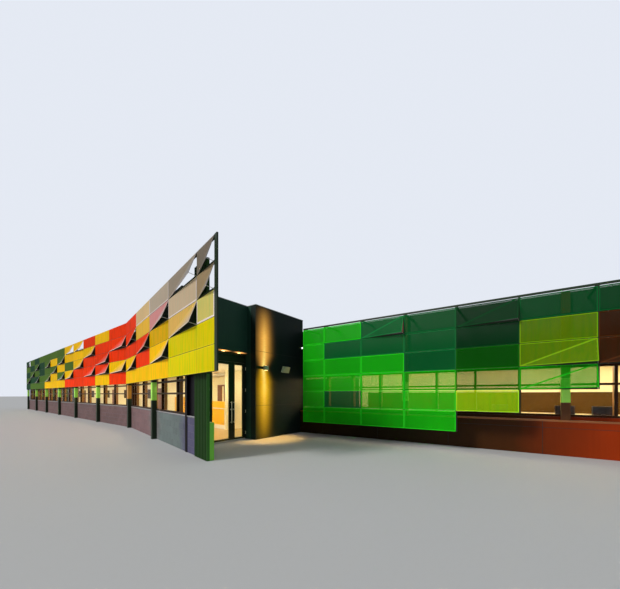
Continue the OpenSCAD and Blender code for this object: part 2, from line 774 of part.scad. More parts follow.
// A screen's rails and uprights, X along the screen from 0 to l
module screen_rails(x0, x1, z, h, places) {
    for (j = [0 : row_count]) translate([x0, sheet_t, z + min(j * h, row_count * h - tube)])
        cube([x1 - x0, tube, tube]);
    for (x = places) translate([x - tube / 2, sheet_t, z]) cube([tube, tube, row_count * h]);
}

module left_screen_frame() color("darkgreen") {
    on_near() {
        screen_rails(end_post_w - bite, near_end(0), left_screen_z, sheet_h,
            [for (i = [1 : near_count]) min(near_col_t(i), near_end(0) - tube / 2)]);
        translate([0, 0, left_screen_z]) cube([end_post_w, end_post_d, left_screen_h]);
        for (j = [1 : 2 : row_count]) translate([pier_start + pier_w / 2, post_front - bite,
            left_screen_z + j * sheet_h]) cube([tube, pier_front + rib_d - post_front + bite, tube]);
    }
    on_far() screen_rails(far_start(0), far_len, left_screen_z, sheet_h,
        [for (i = [0 : far_count]) max(tube / 2 + joint_w, min(i * sheet_w, far_len - tube / 2))]);
}

// One sheet, X along the screen, its outer face at Y 0, its foot at Z 0
module flat_sheet(w, h) {
    translate([sheet_gap / 2, 0, sheet_gap / 2]) cube([w - sheet_gap, sheet_t, h - sheet_gap]);
}

// The corner nearest X 0 is bent out along the sheet's other diagonal
module flap(w, h) {
    a = atan(h / w);
    translate([0, sheet_t, h]) rotate([0, a, 0]) rotate([-fold_angle, 0, 0]) rotate([90, 0, 0])
        linear_extrude(sheet_t) polygon([[0, 0], [norm([w, h]), 0], [h * sin(a), -h * cos(a)]]);
}

module folded_sheet(w, h) {
    fw = w - sheet_gap;
    fh = h - sheet_gap;
    translate([sheet_gap / 2, 0, sheet_gap / 2]) {
        translate([0, sheet_t, 0]) rotate([90, 0, 0])
            linear_extrude(sheet_t) polygon([[0, fh], [fw, fh], [fw, 0]]);
        flap(fw, fh);
    }
}

module one_sheet(letter, w, pick) {
    if (plain(letter) == pick && is_folded(letter)) folded_sheet(w, sheet_h);
    if (letter == pick) flat_sheet(w, sheet_h);
}

module rod(p, q, r) {
    d = q - p;
    translate(p) rotate([0, acos(d[2] / norm(d)), atan2(d[1], d[0])]) cylinder(h = norm(d), r = r);
}

// From the frame behind the sheet's corner to the back of the bent corner
module strut(w) {
    fw = w - sheet_gap;
    fh = sheet_h - sheet_gap;
    a = atan(fh / fw);
    lift = 1 - cos(fold_angle);
    inset = 3 * strut_r;
    tip = [sheet_gap / 2 + fh * sin(a) * cos(a) * lift + inset, sheet_t - fh * cos(a) * sin(fold_angle),
        sheet_gap / 2 + fh * cos(a) * cos(a) * lift + inset / 2];
    difference() {
        rod([0, sheet_t + tube / 2, 0], tip, strut_r);
        translate([-tube, sheet_t, -tube]) cube(2 * tube);
        translate([sheet_gap / 2, 0, sheet_gap / 2]) flap(fw, fh);
    }
}

// Places one_sheet or a strut at each place of the screens
module each_left_sheet(pick) {
    on_near() for (i = [0 : near_count - 1], j = [0 : row_count - 1])
        translate([near_col_t(i), 0, left_screen_z + left_screen_h - (j + 1) * sheet_h])
            screen_piece(near_columns[i][j], near_col_w(i), pick);
    on_far() for (i = [0 : far_count - 1], j = [0 : row_count - 1])
        translate([i * sheet_w, 0, left_screen_z + left_screen_h - (j + 1) * sheet_h])
            screen_piece(far_columns[i][j], sheet_w, pick);
}

module each_right_sheet(pick) {
    for (i = [0 : right_count - 1], j = [0 : len(right_columns[i]) - 1])
        translate([right_col_x(i) + right_col_w(i), right_screen_y,
            right_screen_top - top_strip_h - (j + 1) * sheet_h]) mirror([1, 0, 0])
            screen_piece(right_columns[i][j], right_col_w(i), pick);
}

module screen_piece(letter, w, pick) {
    if (pick == "strut") {
        if (is_folded(letter)) strut(w);
    } else {
        one_sheet(letter, w, pick);
    }
}

module lime_sheets() color("yellowgreen") {
    each_left_sheet("l");
    each_right_sheet("l");
}

module yellow_sheets() color("gold") each_left_sheet("y");

module red_sheets() color("red") {
    each_left_sheet("r");
    each_right_sheet("r");
}

module green_sheets() color("limegreen") {
    each_left_sheet("g");
    each_right_sheet("g");
}

module dark_green_sheets() color("darkgreen") {
    each_left_sheet("d");
    each_right_sheet("d");
}

module fold_struts() color("darkgray") {
    each_left_sheet("strut");
    each_right_sheet("strut");
}

// Middle of the hanger at the left of column i
function hanger_x(i) = i == 0 ? right_col_x(0) + tube / 2
    : i == right_count ? right_len - tube / 2 : right_first_x + (i - 1) * right_sheet_w;

// Height of the foot of column i
function right_foot(i) = right_screen_top - top_strip_h - len(right_columns[i]) * sheet_h;

// Top rail, hangers at the column lines, cross rails behind the sheets, and arms back to the wall
module right_screen_frame() color("darkgreen") {
    translate([right_col_x(0), right_screen_y + sheet_t, right_screen_top - tube])
        cube([right_screen_l, tube, tube]);
    for (i = [0 : right_count]) translate([hanger_x(i) - tube / 2, right_screen_y + sheet_t, 0]) {
        foot = right_foot(max(0, i - 1));
        translate([0, 0, foot]) cube([tube, tube, right_screen_top - foot]);
        for (z = [right_screen_top - tube, arm_z]) translate([0, tube - bite, z])
            cube([tube, block_w - right_screen_y - sheet_t - tube + bite, tube]);
    }
    for (i = [0 : right_count - 1], j = [1 : len(right_columns[i])])
        translate([right_col_x(i), right_screen_y + sheet_t, right_screen_top - top_strip_h - j * sheet_h])
            cube([right_col_w(i), tube, tube]);
}

floors();
ceilings();
block_wall();
lime_wall_end();
left_upper_wall();
left_window_frames();
left_glass();
screen_pier();
dark_bay_panel();
wall_posts();
post_sleeves();
end_walls();
back_walls();
back_window_frames();
back_glass();
hall_side_wall();
entrance_return();
hall_parapets();
left_roof();
hall_roof();
right_roof();
left_screen_frame();
lime_sheets();
yellow_sheets();
red_sheets();
green_sheets();
dark_green_sheets();
fold_struts();
entrance_fascia();
entrance_soffit();
entrance_frame();
entrance_glass();
door_threshold();
left_door();
left_door_glass();
left_door_pull();
right_door();
right_door_glass();
right_door_pull();
wall_lights();
reception_counter();
reception_wall();
corridor_walls();
right_base_wall();
right_upper_wall();
right_window_frames();
right_glass();
right_screen_frame();
work_benches();
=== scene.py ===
import math

import bmesh
import bpy
from mathutils import Matrix, Vector


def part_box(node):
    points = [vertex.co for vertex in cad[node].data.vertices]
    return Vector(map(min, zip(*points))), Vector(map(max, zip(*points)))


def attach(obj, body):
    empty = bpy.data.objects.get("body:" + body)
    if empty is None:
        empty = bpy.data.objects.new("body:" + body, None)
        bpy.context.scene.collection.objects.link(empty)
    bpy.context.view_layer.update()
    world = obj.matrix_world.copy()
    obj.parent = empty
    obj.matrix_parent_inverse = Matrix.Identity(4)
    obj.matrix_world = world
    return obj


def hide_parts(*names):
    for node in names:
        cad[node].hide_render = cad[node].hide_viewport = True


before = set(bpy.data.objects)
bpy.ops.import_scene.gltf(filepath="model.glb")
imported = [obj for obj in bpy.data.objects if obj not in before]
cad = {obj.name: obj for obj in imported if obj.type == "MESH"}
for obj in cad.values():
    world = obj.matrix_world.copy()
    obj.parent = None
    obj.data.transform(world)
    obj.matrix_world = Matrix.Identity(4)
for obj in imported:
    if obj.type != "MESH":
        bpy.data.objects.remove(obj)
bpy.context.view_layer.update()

# Stage. A pale floor under a pale sky, one soft lamp from the front left, and the camera at the height of
# a person's eye, with its picture shifted up as in the photograph. All sizes are half of the real ones.
PHOTO_W = 620
PHOTO_H = 589
FOCAL_PX = 295.65
HORIZON_PX = 394.25
SENSOR_MM = 36.0
EYE = (3.877, -3.8395, 0.827)
EYE_TURN = math.radians(34.864)
VIEW_END = 400.0
SUN_POWER = 2.3
SUN_TURN = (math.radians(56), 0.0, math.radians(-24))
SUN_SPREAD = math.radians(14)
SKY_LIGHT = (0.90, 0.94, 1.0, 1.0)
SKY_STRENGTH = 0.42
SKY_SEEN = (0.78, 0.82, 0.90, 1.0)
FLOOR_REACH = 150.0
FLOOR_DROP = 0.001
FLOOR_GREY = (0.50, 0.51, 0.52, 1)


def placed(name, data):
    """A new object of the scene."""
    thing = bpy.data.objects.new(name, data)
    bpy.context.scene.collection.objects.link(thing)
    return thing


camera = placed("camera", bpy.data.cameras.new("camera"))
camera.data.sensor_width = SENSOR_MM
camera.data.lens = FOCAL_PX / PHOTO_W * SENSOR_MM
camera.data.shift_y = (HORIZON_PX - PHOTO_H / 2) / PHOTO_W
camera.data.clip_end = VIEW_END
camera.location = EYE
camera.rotation_euler = (math.pi / 2, 0.0, EYE_TURN)
bpy.context.scene.camera = camera
bpy.context.scene.view_settings.view_transform = "Standard"


def lamp(name, kind, energy, colour, place=(0, 0, 0), turn=(0, 0, 0)):
    """A lamp of the stage or of the building."""
    data = bpy.data.lights.new(name, kind)
    data.energy = energy
    data.color = colour
    light = placed(name, data)
    light.location = place
    light.rotation_euler = turn
    return light


sun = lamp("sun", "SUN", SUN_POWER, (1.0, 0.97, 0.92), turn=SUN_TURN)
sun.data.angle = SUN_SPREAD

world = bpy.data.worlds.new("pale_sky")
bpy.context.scene.world = world
world.use_nodes = True
sky = world.node_tree
sky.nodes.clear()
sky_out, sky_mix, sky_path, seen, sky_lamp, sky_seen = [sky.nodes.new("ShaderNode" + kind) for kind in (
    "OutputWorld", "MixShader", "LightPath", "Math", "Background", "Background")]
seen.operation = "MAXIMUM"


def feed(tree, pairs):
    """Sets inputs of nodes to values, or links them to other nodes' outputs."""
    for socket, value in pairs:
        if isinstance(value, bpy.types.NodeSocket):
            tree.links.new(value, socket)
        else:
            socket.default_value = value


feed(sky, ((sky_lamp.inputs["Color"], SKY_LIGHT), (sky_lamp.inputs["Strength"], SKY_STRENGTH),
           (sky_seen.inputs["Color"], SKY_SEEN), (seen.inputs[0], sky_path.outputs["Is Camera Ray"]),
           (seen.inputs[1], sky_path.outputs["Is Transmission Ray"]), (sky_mix.inputs[0], seen.outputs[0]),
           (sky_mix.inputs[1], sky_lamp.outputs[0]), (sky_mix.inputs[2], sky_seen.outputs[0]),
           (sky_out.inputs[0], sky_mix.outputs[0])))

floor_mesh = bpy.data.meshes.new("stage_floor")
floor_corners = [(x * FLOOR_REACH, y * FLOOR_REACH, -FLOOR_DROP)
                 for x, y in ((-1, -1), (1, -1), (1, 1), (-1, 1))]
floor_mesh.from_pydata(floor_corners, [], [(0, 1, 2, 3)])
stage_floor = placed("stage_floor", floor_mesh)


def plain_coat(name):
    """A new material, its tree and the inputs of its shader."""
    material = bpy.data.materials.new(name)
    material.use_nodes = True
    return material, material.node_tree, material.node_tree.nodes["Principled BSDF"].inputs


floor_paint, floor_tree, floor_shader = plain_coat("stage_floor")
feed(floor_tree, ((floor_shader["Base Color"], FLOOR_GREY), (floor_shader["Roughness"], 0.9)))
floor_mesh.materials.append(floor_paint)


# Floors, ceilings and inner walls. Sheet flooring on a screed, hung ceilings with a bulkhead over the hall's
# far side, and plastered walls painted cream, with brown skirtings, doors and pinboards fixed to them.
STREAK_STRETCH = (26.0, 26.0, 1.3)


def group_maths(tree):
    """Returns a function that adds a math node to a shader tree, from sockets or numbers."""
    def add(operation, *values, clamp=False):
        node = tree.nodes.new("ShaderNodeMath")
        node.operation = operation
        node.use_clamp = clamp
        feed(tree, zip(node.inputs, values))
        return node.outputs[0]
    return add


def noise(tree, scale=5.0, detail=2.0, stretch=(1.0, 1.0, 1.0)):
    """A noise over the building's own space, packed closer along an axis by its stretch."""
    place, mapping = tree.nodes.new("ShaderNodeTexCoord"), tree.nodes.new("ShaderNodeMapping")
    texture = tree.nodes.new("ShaderNodeTexNoise")
    feed(tree, ((mapping.inputs["Scale"], stretch), (mapping.inputs["Vector"], place.outputs["Object"]),
                (texture.inputs["Vector"], mapping.outputs[0]), (texture.inputs["Scale"], scale),
                (texture.inputs["Detail"], detail)))
    return texture.outputs["Fac"]


def attribute(tree, name):
    """A number that the points of a mesh carry."""
    node = tree.nodes.new("ShaderNodeAttribute")
    node.attribute_name = name
    return node.outputs["Fac"]


def node_group(name, kind, inputs, output_sockets):
    """An empty node group with named sockets, and the sockets inside it that its nodes are linked to."""
    group = bpy.data.node_groups.new(name, kind)
    for direction, sockets in (("INPUT", inputs), ("OUTPUT", output_sockets)):
        for label, socket in sockets:
            group.interface.new_socket(label, in_out=direction, socket_type="NodeSocket" + socket)
    return group, group.nodes.new("NodeGroupInput").outputs, group.nodes.new("NodeGroupOutput").inputs


def weathering():
    """Shader group: a paint's slow changes of colour and gloss, rain streaks and a fine grain, and each
    piece's own tone from its mesh, which on the screens also holds painted light and shade.
    """
    group, given, out = node_group("weathering", "ShaderNodeTree", (
        ("Color", "Color"), ("Roughness", "Float"), ("Patch size", "Float"), ("Patches", "Float"),
        ("Streaks", "Float"), ("Grain size", "Float")),
        (("Color", "Color"), ("Roughness", "Float"), ("Height", "Float")))
    maths = group_maths(group)
    patches = noise(group, maths("DIVIDE", 1.0, given["Patch size"]), 4.0)
    streaks = noise(group, 1.0, 3.0, STREAK_STRETCH)
    grain = noise(group, maths("DIVIDE", 1.0, given["Grain size"]))
    patch_tone = maths("MULTIPLY_ADD", maths("SUBTRACT", patches, 0.5), given["Patches"], 1.0)
    streak_tone = maths("MULTIPLY_ADD", maths("SUBTRACT", streaks, 0.5), given["Streaks"], 1.0)
    tone = maths("MULTIPLY", patch_tone, streak_tone)
    colour = group.nodes.new("ShaderNodeVectorMath")
    colour.operation = "SCALE"
    feed(group, ((colour.inputs[0], given["Color"]), (out["Color"], colour.outputs[0]),
                 (out["Height"], grain),
                 (colour.inputs["Scale"], maths("MULTIPLY_ADD", tone, attribute(group, "tone_and_painted_light"), tone)),
                 (out["Roughness"], maths("MULTIPLY", given["Roughness"], tone, clamp=True))))
    return group


WEATHERING = weathering()


def paint(name, colour, rough, patch=0.5, patches=0.15, streaks=0.1, grain=0.01, depth=0.0004, metal=0.0,
          gloss=0.5):
    """A painted or lined surface: its colour drifts in patches and streaks, with a fine grain in the bump."""
    material, tree, shader = plain_coat(name)
    group, bump = tree.nodes.new("ShaderNodeGroup"), tree.nodes.new("ShaderNodeBump")
    group.name = "weathering"
    group.node_tree = WEATHERING
    feed(tree, (
        *zip(group.inputs, ((*colour, 1), rough, patch, patches, streaks, grain)),
        (bump.inputs["Distance"], depth), (bump.inputs["Height"], group.outputs["Height"]),
        (shader["Metallic"], metal), (shader["Specular IOR Level"], gloss),
        (shader["Base Color"], group.outputs["Color"]), (shader["Roughness"], group.outputs["Roughness"]),
        (shader["Normal"], bump.outputs["Normal"])))
    return material


def finish(material, *nodes):
    """Gives construction nodes their finish."""
    for node in nodes:
        cad[node].data.materials.clear()
        cad[node].data.materials.append(material)


SHEET_W = 1.200
SCREEN_END = (1.232, -1.800)
NEAR_TURN = math.radians(14.4)
FAR_TURN = math.radians(4.3)
NEAR_COLUMNS = ["YYlll", "YyYll", "yRyYy", "yyRry", "rRrYy"]
FAR_COLUMNS = ["rRrYr", "yrRRy", "rYrRr", "YyYrr", "YygYr", "gGyGy", "gyGyy", "gGgGy", "gddgg", "dGgDg",
               "gdGdg", "DgdGd"]
NEAR_LEN = (len(NEAR_COLUMNS) - 0.5) * SHEET_W
FAR_LEN = len(FAR_COLUMNS) * SHEET_W
WALL_T = 0.125
BAY = 2 * SHEET_W
ROOM_BAYS = len(FAR_COLUMNS) // 2
CORRIDOR = 2.250
RIGHT_CORRIDOR_Y = 4.300
FLOOR_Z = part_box("floors")[1].z
CEILING_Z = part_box("ceilings")[0].z
RIGHT_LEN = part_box("right_base_wall")[1].x


def wing(start, turn):
    """A wing's own frame: X along it from its near end, Y into the building, Z up."""
    along = Vector((-math.cos(turn), math.sin(turn), 0))
    inward = Vector((math.sin(turn), math.cos(turn), 0))
    return Matrix(((along.x, inward.x, 0, start[0]), (along.y, inward.y, 0, start[1]),
                   (0, 0, 1, 0), (0, 0, 0, 1)))


NEAR = wing(SCREEN_END, NEAR_TURN)
BEND = NEAR @ Vector((NEAR_LEN, 0, 0))
FAR = wing((BEND.x, BEND.y), FAR_TURN)
PLAN = Matrix.Identity(4)


def near_end(depth):
    """Length along the near part at which it meets the mitre of the bend."""
    return NEAR_LEN + depth * math.tan((NEAR_TURN - FAR_TURN) / 2)


def add_box(bm, matrix, low, high):
    """A box between two opposite corners, given along a wing."""
    v = [bm.verts.new(matrix @ Vector((x, y, z))) for x in (low[0], high[0]) for y in (low[1], high[1])
         for z in (low[2], high[2])]
    flip = matrix.determinant() < 0
    for quad in ((0, 1, 3, 2), (4, 6, 7, 5), (0, 4, 5, 1), (2, 3, 7, 6), (0, 2, 6, 4), (1, 5, 7, 3)):
        bm.faces.new([v[i] for i in (reversed(quad) if flip else quad)])


def cast(name, bm):
    """A finished mesh from one in the making."""
    mesh = bpy.data.meshes.new(name)
    bm.to_mesh(mesh)
    bm.free()
    return mesh


def mounted(name, mesh, body="building"):
    """A piece of the building from a finished mesh."""
    piece = placed(name, mesh)
    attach(piece, body)
    return piece


def made(name, bm, materials, body="building"):
    """A piece of the building from a mesh in the making."""
    mesh = cast(name, bm)
    for material in materials:
        mesh.materials.append(material)
    return mounted(name, mesh, body)


def boxes(name, material, places):
    """One piece of separate boxes, each given as the wing it is in and two opposite corners."""
    bm = bmesh.new()
    for matrix, low, high in places:
        add_box(bm, matrix, low, high)
    made(name, bm, [material])


inner_paint = paint("inner_paint", (0.90, 0.84, 0.60), 0.6, patch=0.8, patches=0.12, streaks=0.05)
ceiling_lining = paint("ceiling_lining", (0.95, 0.93, 0.82), 0.8, patches=0.05, streaks=0.0, grain=0.004)
floor_finish = paint("floor_finish", (0.46, 0.31, 0.13), 0.32, patch=0.3, patches=0.25, streaks=0.0)
inner_brown = paint("inner_brown", (0.20, 0.065, 0.022), 0.45, patches=0.3, streaks=0.2)
pinboard = paint("pinboard", (0.065, 0.034, 0.008), 0.9, patch=0.1, patches=0.5, grain=0.003, depth=0.001,
                 gloss=0.1)
finish(floor_finish, "floors")
finish(ceiling_lining, "ceilings")
finish(inner_paint, "corridor_walls", "reception_wall")

CLEARANCE = 0.01
FITTING_T = 0.012
SKIRTING_H = 0.050
NEAR_WALL_START = 3.40
ROOM_DOOR_START = 0.55
ROOM_DOOR_W = 0.46
ROOM_DOOR_TOP = 1.05
HALL_DOOR = (4.580, 5.134)
HALL_DOOR_PANE = (4.705, 4.883)
HALL_DOOR_TOP = 1.092
BOARD_T = (1.45, 1.95)
BOARD_Z = (0.66, 1.02)
LONG_BOARD_X = (0.30, 6.50)
LONG_BOARD_Z = (0.433, 0.872)
BULKHEAD_T = 3.45
BULKHEAD_D = 0.25
BULKHEAD_H = 0.064
BULKHEAD_SHORT = 0.05
board_face, door_face = CORRIDOR - FITTING_T, CORRIDOR - 2 * FITTING_T
skirtings = [(matrix, (a, board_face, FLOOR_Z), (b, CORRIDOR, FLOOR_Z + SKIRTING_H))
             for matrix, a, b in ((NEAR, NEAR_WALL_START, near_end(CORRIDOR)), (FAR, 0.0, FAR_LEN - WALL_T))]
skirtings.append((PLAN, (CLEARANCE, RIGHT_CORRIDOR_Y - FITTING_T, FLOOR_Z),
                  (RIGHT_LEN - WALL_T, RIGHT_CORRIDOR_Y, FLOOR_Z + SKIRTING_H)))
room_doors = [(FAR, (a, door_face, FLOOR_Z), (a + ROOM_DOOR_W, CORRIDOR, ROOM_DOOR_TOP))
              for a in [ROOM_DOOR_START + BAY * k for k in range(ROOM_BAYS)]]
hall_door = [(NEAR, (a, door_face, foot), (b, CORRIDOR, HALL_DOOR_TOP)) for a, b, foot in (
    (HALL_DOOR[0], HALL_DOOR_PANE[0], FLOOR_Z), (HALL_DOOR_PANE[1], HALL_DOOR[1], FLOOR_Z),
    (*HALL_DOOR_PANE, ROOM_DOOR_TOP))]
boards = [(FAR, (BOARD_T[0] + BAY * k, board_face, BOARD_Z[0]), (BOARD_T[1] + BAY * k, CORRIDOR, BOARD_Z[1]))
          for k in range(1, ROOM_BAYS)]
boards.append((PLAN, (LONG_BOARD_X[0], RIGHT_CORRIDOR_Y - FITTING_T, LONG_BOARD_Z[0]),
               (LONG_BOARD_X[1], RIGHT_CORRIDOR_Y, LONG_BOARD_Z[1])))
boxes("skirtings_and_doors", inner_brown, skirtings + room_doors + hall_door)
boxes("pinboards", pinboard, boards)
boxes("hall_bulkhead", ceiling_lining, [
    (NEAR, (BULKHEAD_T, CORRIDOR - BULKHEAD_D, CEILING_Z - BULKHEAD_H),
     (near_end(CORRIDOR) - BULKHEAD_SHORT, CORRIDOR, CEILING_Z))])

# Room lights. Long panels with a steel tray and a milky lens, fixed under the ceilings in rows. A lamp out
# of sight lights the hall's ceiling from below, as the pale floor and walls of a room do.
PANEL_L = 0.60
PANEL_W = 0.15
PANEL_T = 0.02
FAR_ROWS = (1.0, 3.0)
NEAR_PANELS = ((3.0, 0.9), (4.2, 0.9), (5.3, 0.9), (2.9, 2.7), (4.2, 3.0))
RIGHT_PANELS = [0.7 + k * 1.1 for k in range(6)]
RIGHT_ROWS = (2.3, 3.6, 4.9)
HALL_PANELS = ((-0.8, 3.2), (-1.7, 3.2), (-2.6, 3.2))
UPLIGHT_POWER = 26.0
UPLIGHT_PLACE = (-1.1, 0.15, 0.30)
UPLIGHT_SPREAD = math.radians(150)


def glow(name, colour, strength):
    """The finish of a lit lens or light panel."""
    material = paint(name, colour, 0.4, patches=0.05, streaks=0.0)
    shader = material.node_tree.nodes["Principled BSDF"]
    shader.inputs["Emission Color"].default_value = (*colour, 1)
    shader.inputs["Emission Strength"].default_value = strength
    return material


warm_panel = glow("light_panel", (1.0, 0.84, 0.54), 42.0)
panels = [(FAR, (k + 0.5) * SHEET_W, row) for k in range(len(FAR_COLUMNS)) for row in FAR_ROWS
          if k or row == FAR_ROWS[0]]
panels += [(NEAR, t, o) for t, o in NEAR_PANELS]
panels += [(PLAN, x, y) for x in RIGHT_PANELS for y in RIGHT_ROWS]
panels += [(PLAN, x, y) for x, y in HALL_PANELS]
boxes("room_lights", warm_panel, [
    (matrix, (x - PANEL_L / 2, y - PANEL_W / 2, CEILING_Z - PANEL_T),
     (x + PANEL_L / 2, y + PANEL_W / 2, CEILING_Z)) for matrix, x, y in panels])
uplight = lamp("hall_uplight", "SPOT", UPLIGHT_POWER, (1.0, 0.88, 0.52), UPLIGHT_PLACE, (math.pi, 0, 0))
uplight.data.spot_size = UPLIGHT_SPREAD
uplight.data.spot_blend = 0.6
uplight.visible_transmission = False

# Reception counter, cupboard and benches. The counter is faced with yellow-orange laminate under a white
# worktop, on a set-back plinth, and so is the cupboard in the far corridor. Monitors stand on clear benches.
COUNTER_T = 3.400
COUNTER_L = 1.500
COUNTER_O = 1.650
COUNTER_D = 0.330
WORKTOP_Z = 0.480
WORKTOP_T = 0.020
WORKTOP_NOSE = 0.016
END_PANEL_T = 0.012
END_PANEL_LIP = 0.010
PLINTH_T = 0.006
PLINTH_TOP = 0.105
CUPBOARD_T = (1.34, 1.96)
CUPBOARD_D = 0.060
CUPBOARD_TOP = 0.734
MONITORS = (3.55, 4.35, 4.75)
MONITOR_BACK = 1.80
MONITOR_W = 0.22
MONITOR_T = 0.03
MONITOR_Z = (0.50, 0.66)
STAND_D = 0.04
STAND_X = (0.09, 0.13)
STAND_Z = (0.464, 0.55)
counter_yellow = paint("counter_yellow", (0.95, 0.50, 0.008), 0.3, patches=0.08, streaks=0.0, gloss=0.3)
worktop = paint("worktop", (0.88, 0.84, 0.76), 0.25, patches=0.05, streaks=0.0)
bench_top = paint("bench_top", (0.62, 0.45, 0.26), 0.4, patches=0.3, streaks=0.0)
dark_gear = paint("dark_gear", (0.02, 0.018, 0.016), 0.35)
finish(counter_yellow, "reception_counter")
finish(bench_top, "work_benches")
boxes("counter_worktop", worktop, [
    (NEAR, (COUNTER_T - END_PANEL_T, COUNTER_O - WORKTOP_NOSE, WORKTOP_Z),
     (COUNTER_T + COUNTER_L + END_PANEL_T, COUNTER_O, WORKTOP_Z + WORKTOP_T)),
    (NEAR, (COUNTER_T - END_PANEL_T, COUNTER_O - END_PANEL_LIP, FLOOR_Z),
     (COUNTER_T, COUNTER_O + COUNTER_D, WORKTOP_Z)),
    (NEAR, (COUNTER_T - END_PANEL_LIP, COUNTER_O - PLINTH_T, FLOOR_Z),
     (COUNTER_T + COUNTER_L, COUNTER_O, PLINTH_TOP))])
boxes("yellow_cupboard", counter_yellow, [
    (FAR, (CUPBOARD_T[0], CORRIDOR - CUPBOARD_D, FLOOR_Z + SKIRTING_H),
     (CUPBOARD_T[1], CORRIDOR, CUPBOARD_TOP))])
screen_back = MONITOR_BACK + MONITOR_T
stand_front = MONITOR_BACK - STAND_D
boxes("bench_monitors", dark_gear,
      [(PLAN, (x, MONITOR_BACK, MONITOR_Z[0]), (x + MONITOR_W, screen_back, MONITOR_Z[1])) for x in MONITORS]
      + [(PLAN, (x + STAND_X[0], stand_front, STAND_Z[0]), (x + STAND_X[1], MONITOR_BACK, STAND_Z[1]))
         for x in MONITORS])

# Block wall. Hollow concrete blocks, 400 by 200 mm with their joints, laid in stretcher bond in grey mortar
# and left bare, five courses high under a folded metal sill.
BLOCK_L = 0.200
COURSE_H = 0.100
MORTAR = 0.004
BLOCK_FACE = 0.003
BLOCK_BITE = 0.002
WALL_GAP = 0.112
SILL_Z = 0.522
SILL_T = 0.008
SILL_NOSE = 0.012
SILL_BACK = 0.024
BAY_START = 0.938
DARK_BAY_W = 0.327
JAMB_W = 0.080
JAMB_END = BAY_START + DARK_BAY_W + JAMB_W
TINT_NOISE = 2.2


def own_place(tree):
    """X, Y and Z over the building's own space."""
    place, split = tree.nodes.new("ShaderNodeTexCoord"), tree.nodes.new("ShaderNodeSeparateXYZ")
    feed(tree, [(split.inputs[0], place.outputs["Object"])])
    return split.outputs


def along_x(material, start, end, stops, wander=0.0, blend="LINEAR"):
    """Feeds a paint with colours that change along X, at stops that a slow noise can shift."""
    tree = material.node_tree
    maths = group_maths(tree)
    ramp = tree.nodes.new("ShaderNodeValToRGB")
    x = maths("MULTIPLY_ADD", noise(tree, TINT_NOISE), wander, own_place(tree)["X"])
    share = maths("DIVIDE", maths("SUBTRACT", x, start + wander / 2), end - start)
    feed(tree, ((ramp.inputs["Fac"], share),
                (tree.nodes["weathering"].inputs["Color"], ramp.outputs["Color"])))
    ramp.color_ramp.interpolation = blend
    for k, (stop, colour) in enumerate(stops):
        position = (stop - start) / (end - start)
        element = ramp.color_ramp.elements[k] if k < 2 else ramp.color_ramp.elements.new(position)
        element.position = position
        element.color = (*colour, 1)


grey_block = paint("grey_block", (0.115, 0.115, 0.150), 0.85, patch=0.35, patches=0.5, streaks=0.25,
                   grain=0.004, depth=0.001)
# Tints that coloured lamps give the wall, set against colours measured in the photograph
along_x(grey_block, -6.0, 0.0, (
    (-5.0, (0.140, 0.080, 0.080)), (-2.3, (0.200, 0.115, 0.120)), (-1.35, (0.130, 0.165, 0.160)),
    (-0.4, (0.125, 0.160, 0.158)), (0.0, (0.080, 0.075, 0.145))), wander=0.8)
mortar = paint("mortar", (0.17, 0.17, 0.19), 0.9, grain=0.003, depth=0.001)
sill_metal = paint("sill_metal", (0.45, 0.45, 0.47), 0.35, patches=0.2, streaks=0.2)


def setting_out():
    """Geometry Nodes: one item set at each point, turned and sized by the point's own attributes."""
    tree, given, out = node_group("setting_out", "GeometryNodeTree", (
        ("Points", "Geometry"), ("Item", "Object"), ("Finish", "Material"), ("Shade spread", "Float"),
        ("Seed", "Int")), [("Pieces", "Geometry")])
    new = tree.nodes.new
    item, onto = new("GeometryNodeObjectInfo"), new("GeometryNodeInstanceOnPoints")
    turn, size = new("GeometryNodeInputNamedAttribute"), new("GeometryNodeInputNamedAttribute")
    for node, name in ((turn, "turn"), (size, "size")):
        node.data_type = "FLOAT_VECTOR"
        node.inputs["Name"].default_value = name
    minus = new("ShaderNodeMath")
    minus.operation = "MULTIPLY"
    chance, keep = new("FunctionNodeRandomValue"), new("GeometryNodeStoreNamedAttribute")
    keep.domain = "INSTANCE"
    keep.data_type = "FLOAT"
    real, coat = new("GeometryNodeRealizeInstances"), new("GeometryNodeSetMaterial")
    feed(tree, (
        (item.inputs["Object"], given["Item"]), (onto.inputs["Points"], given["Points"]),
        (onto.inputs["Instance"], item.outputs["Geometry"]),
        (onto.inputs["Rotation"], turn.outputs["Attribute"]),
        (onto.inputs["Scale"], size.outputs["Attribute"]), (minus.inputs[0], given["Shade spread"]),
        (minus.inputs[1], -1.0), (chance.inputs[2], minus.outputs[0]),
        (chance.inputs[3], given["Shade spread"]), (chance.inputs["Seed"], given["Seed"]),
        (keep.inputs["Name"], "tone_and_painted_light"), (keep.inputs["Geometry"], onto.outputs[0]),
        (keep.inputs["Value"], chance.outputs[1]),
        (real.inputs[0], keep.outputs[0]), (coat.inputs["Geometry"], real.outputs[0]),
        (coat.inputs["Material"], given["Finish"]), (out[0], coat.outputs[0])))
    return tree


SETTING_OUT = setting_out()


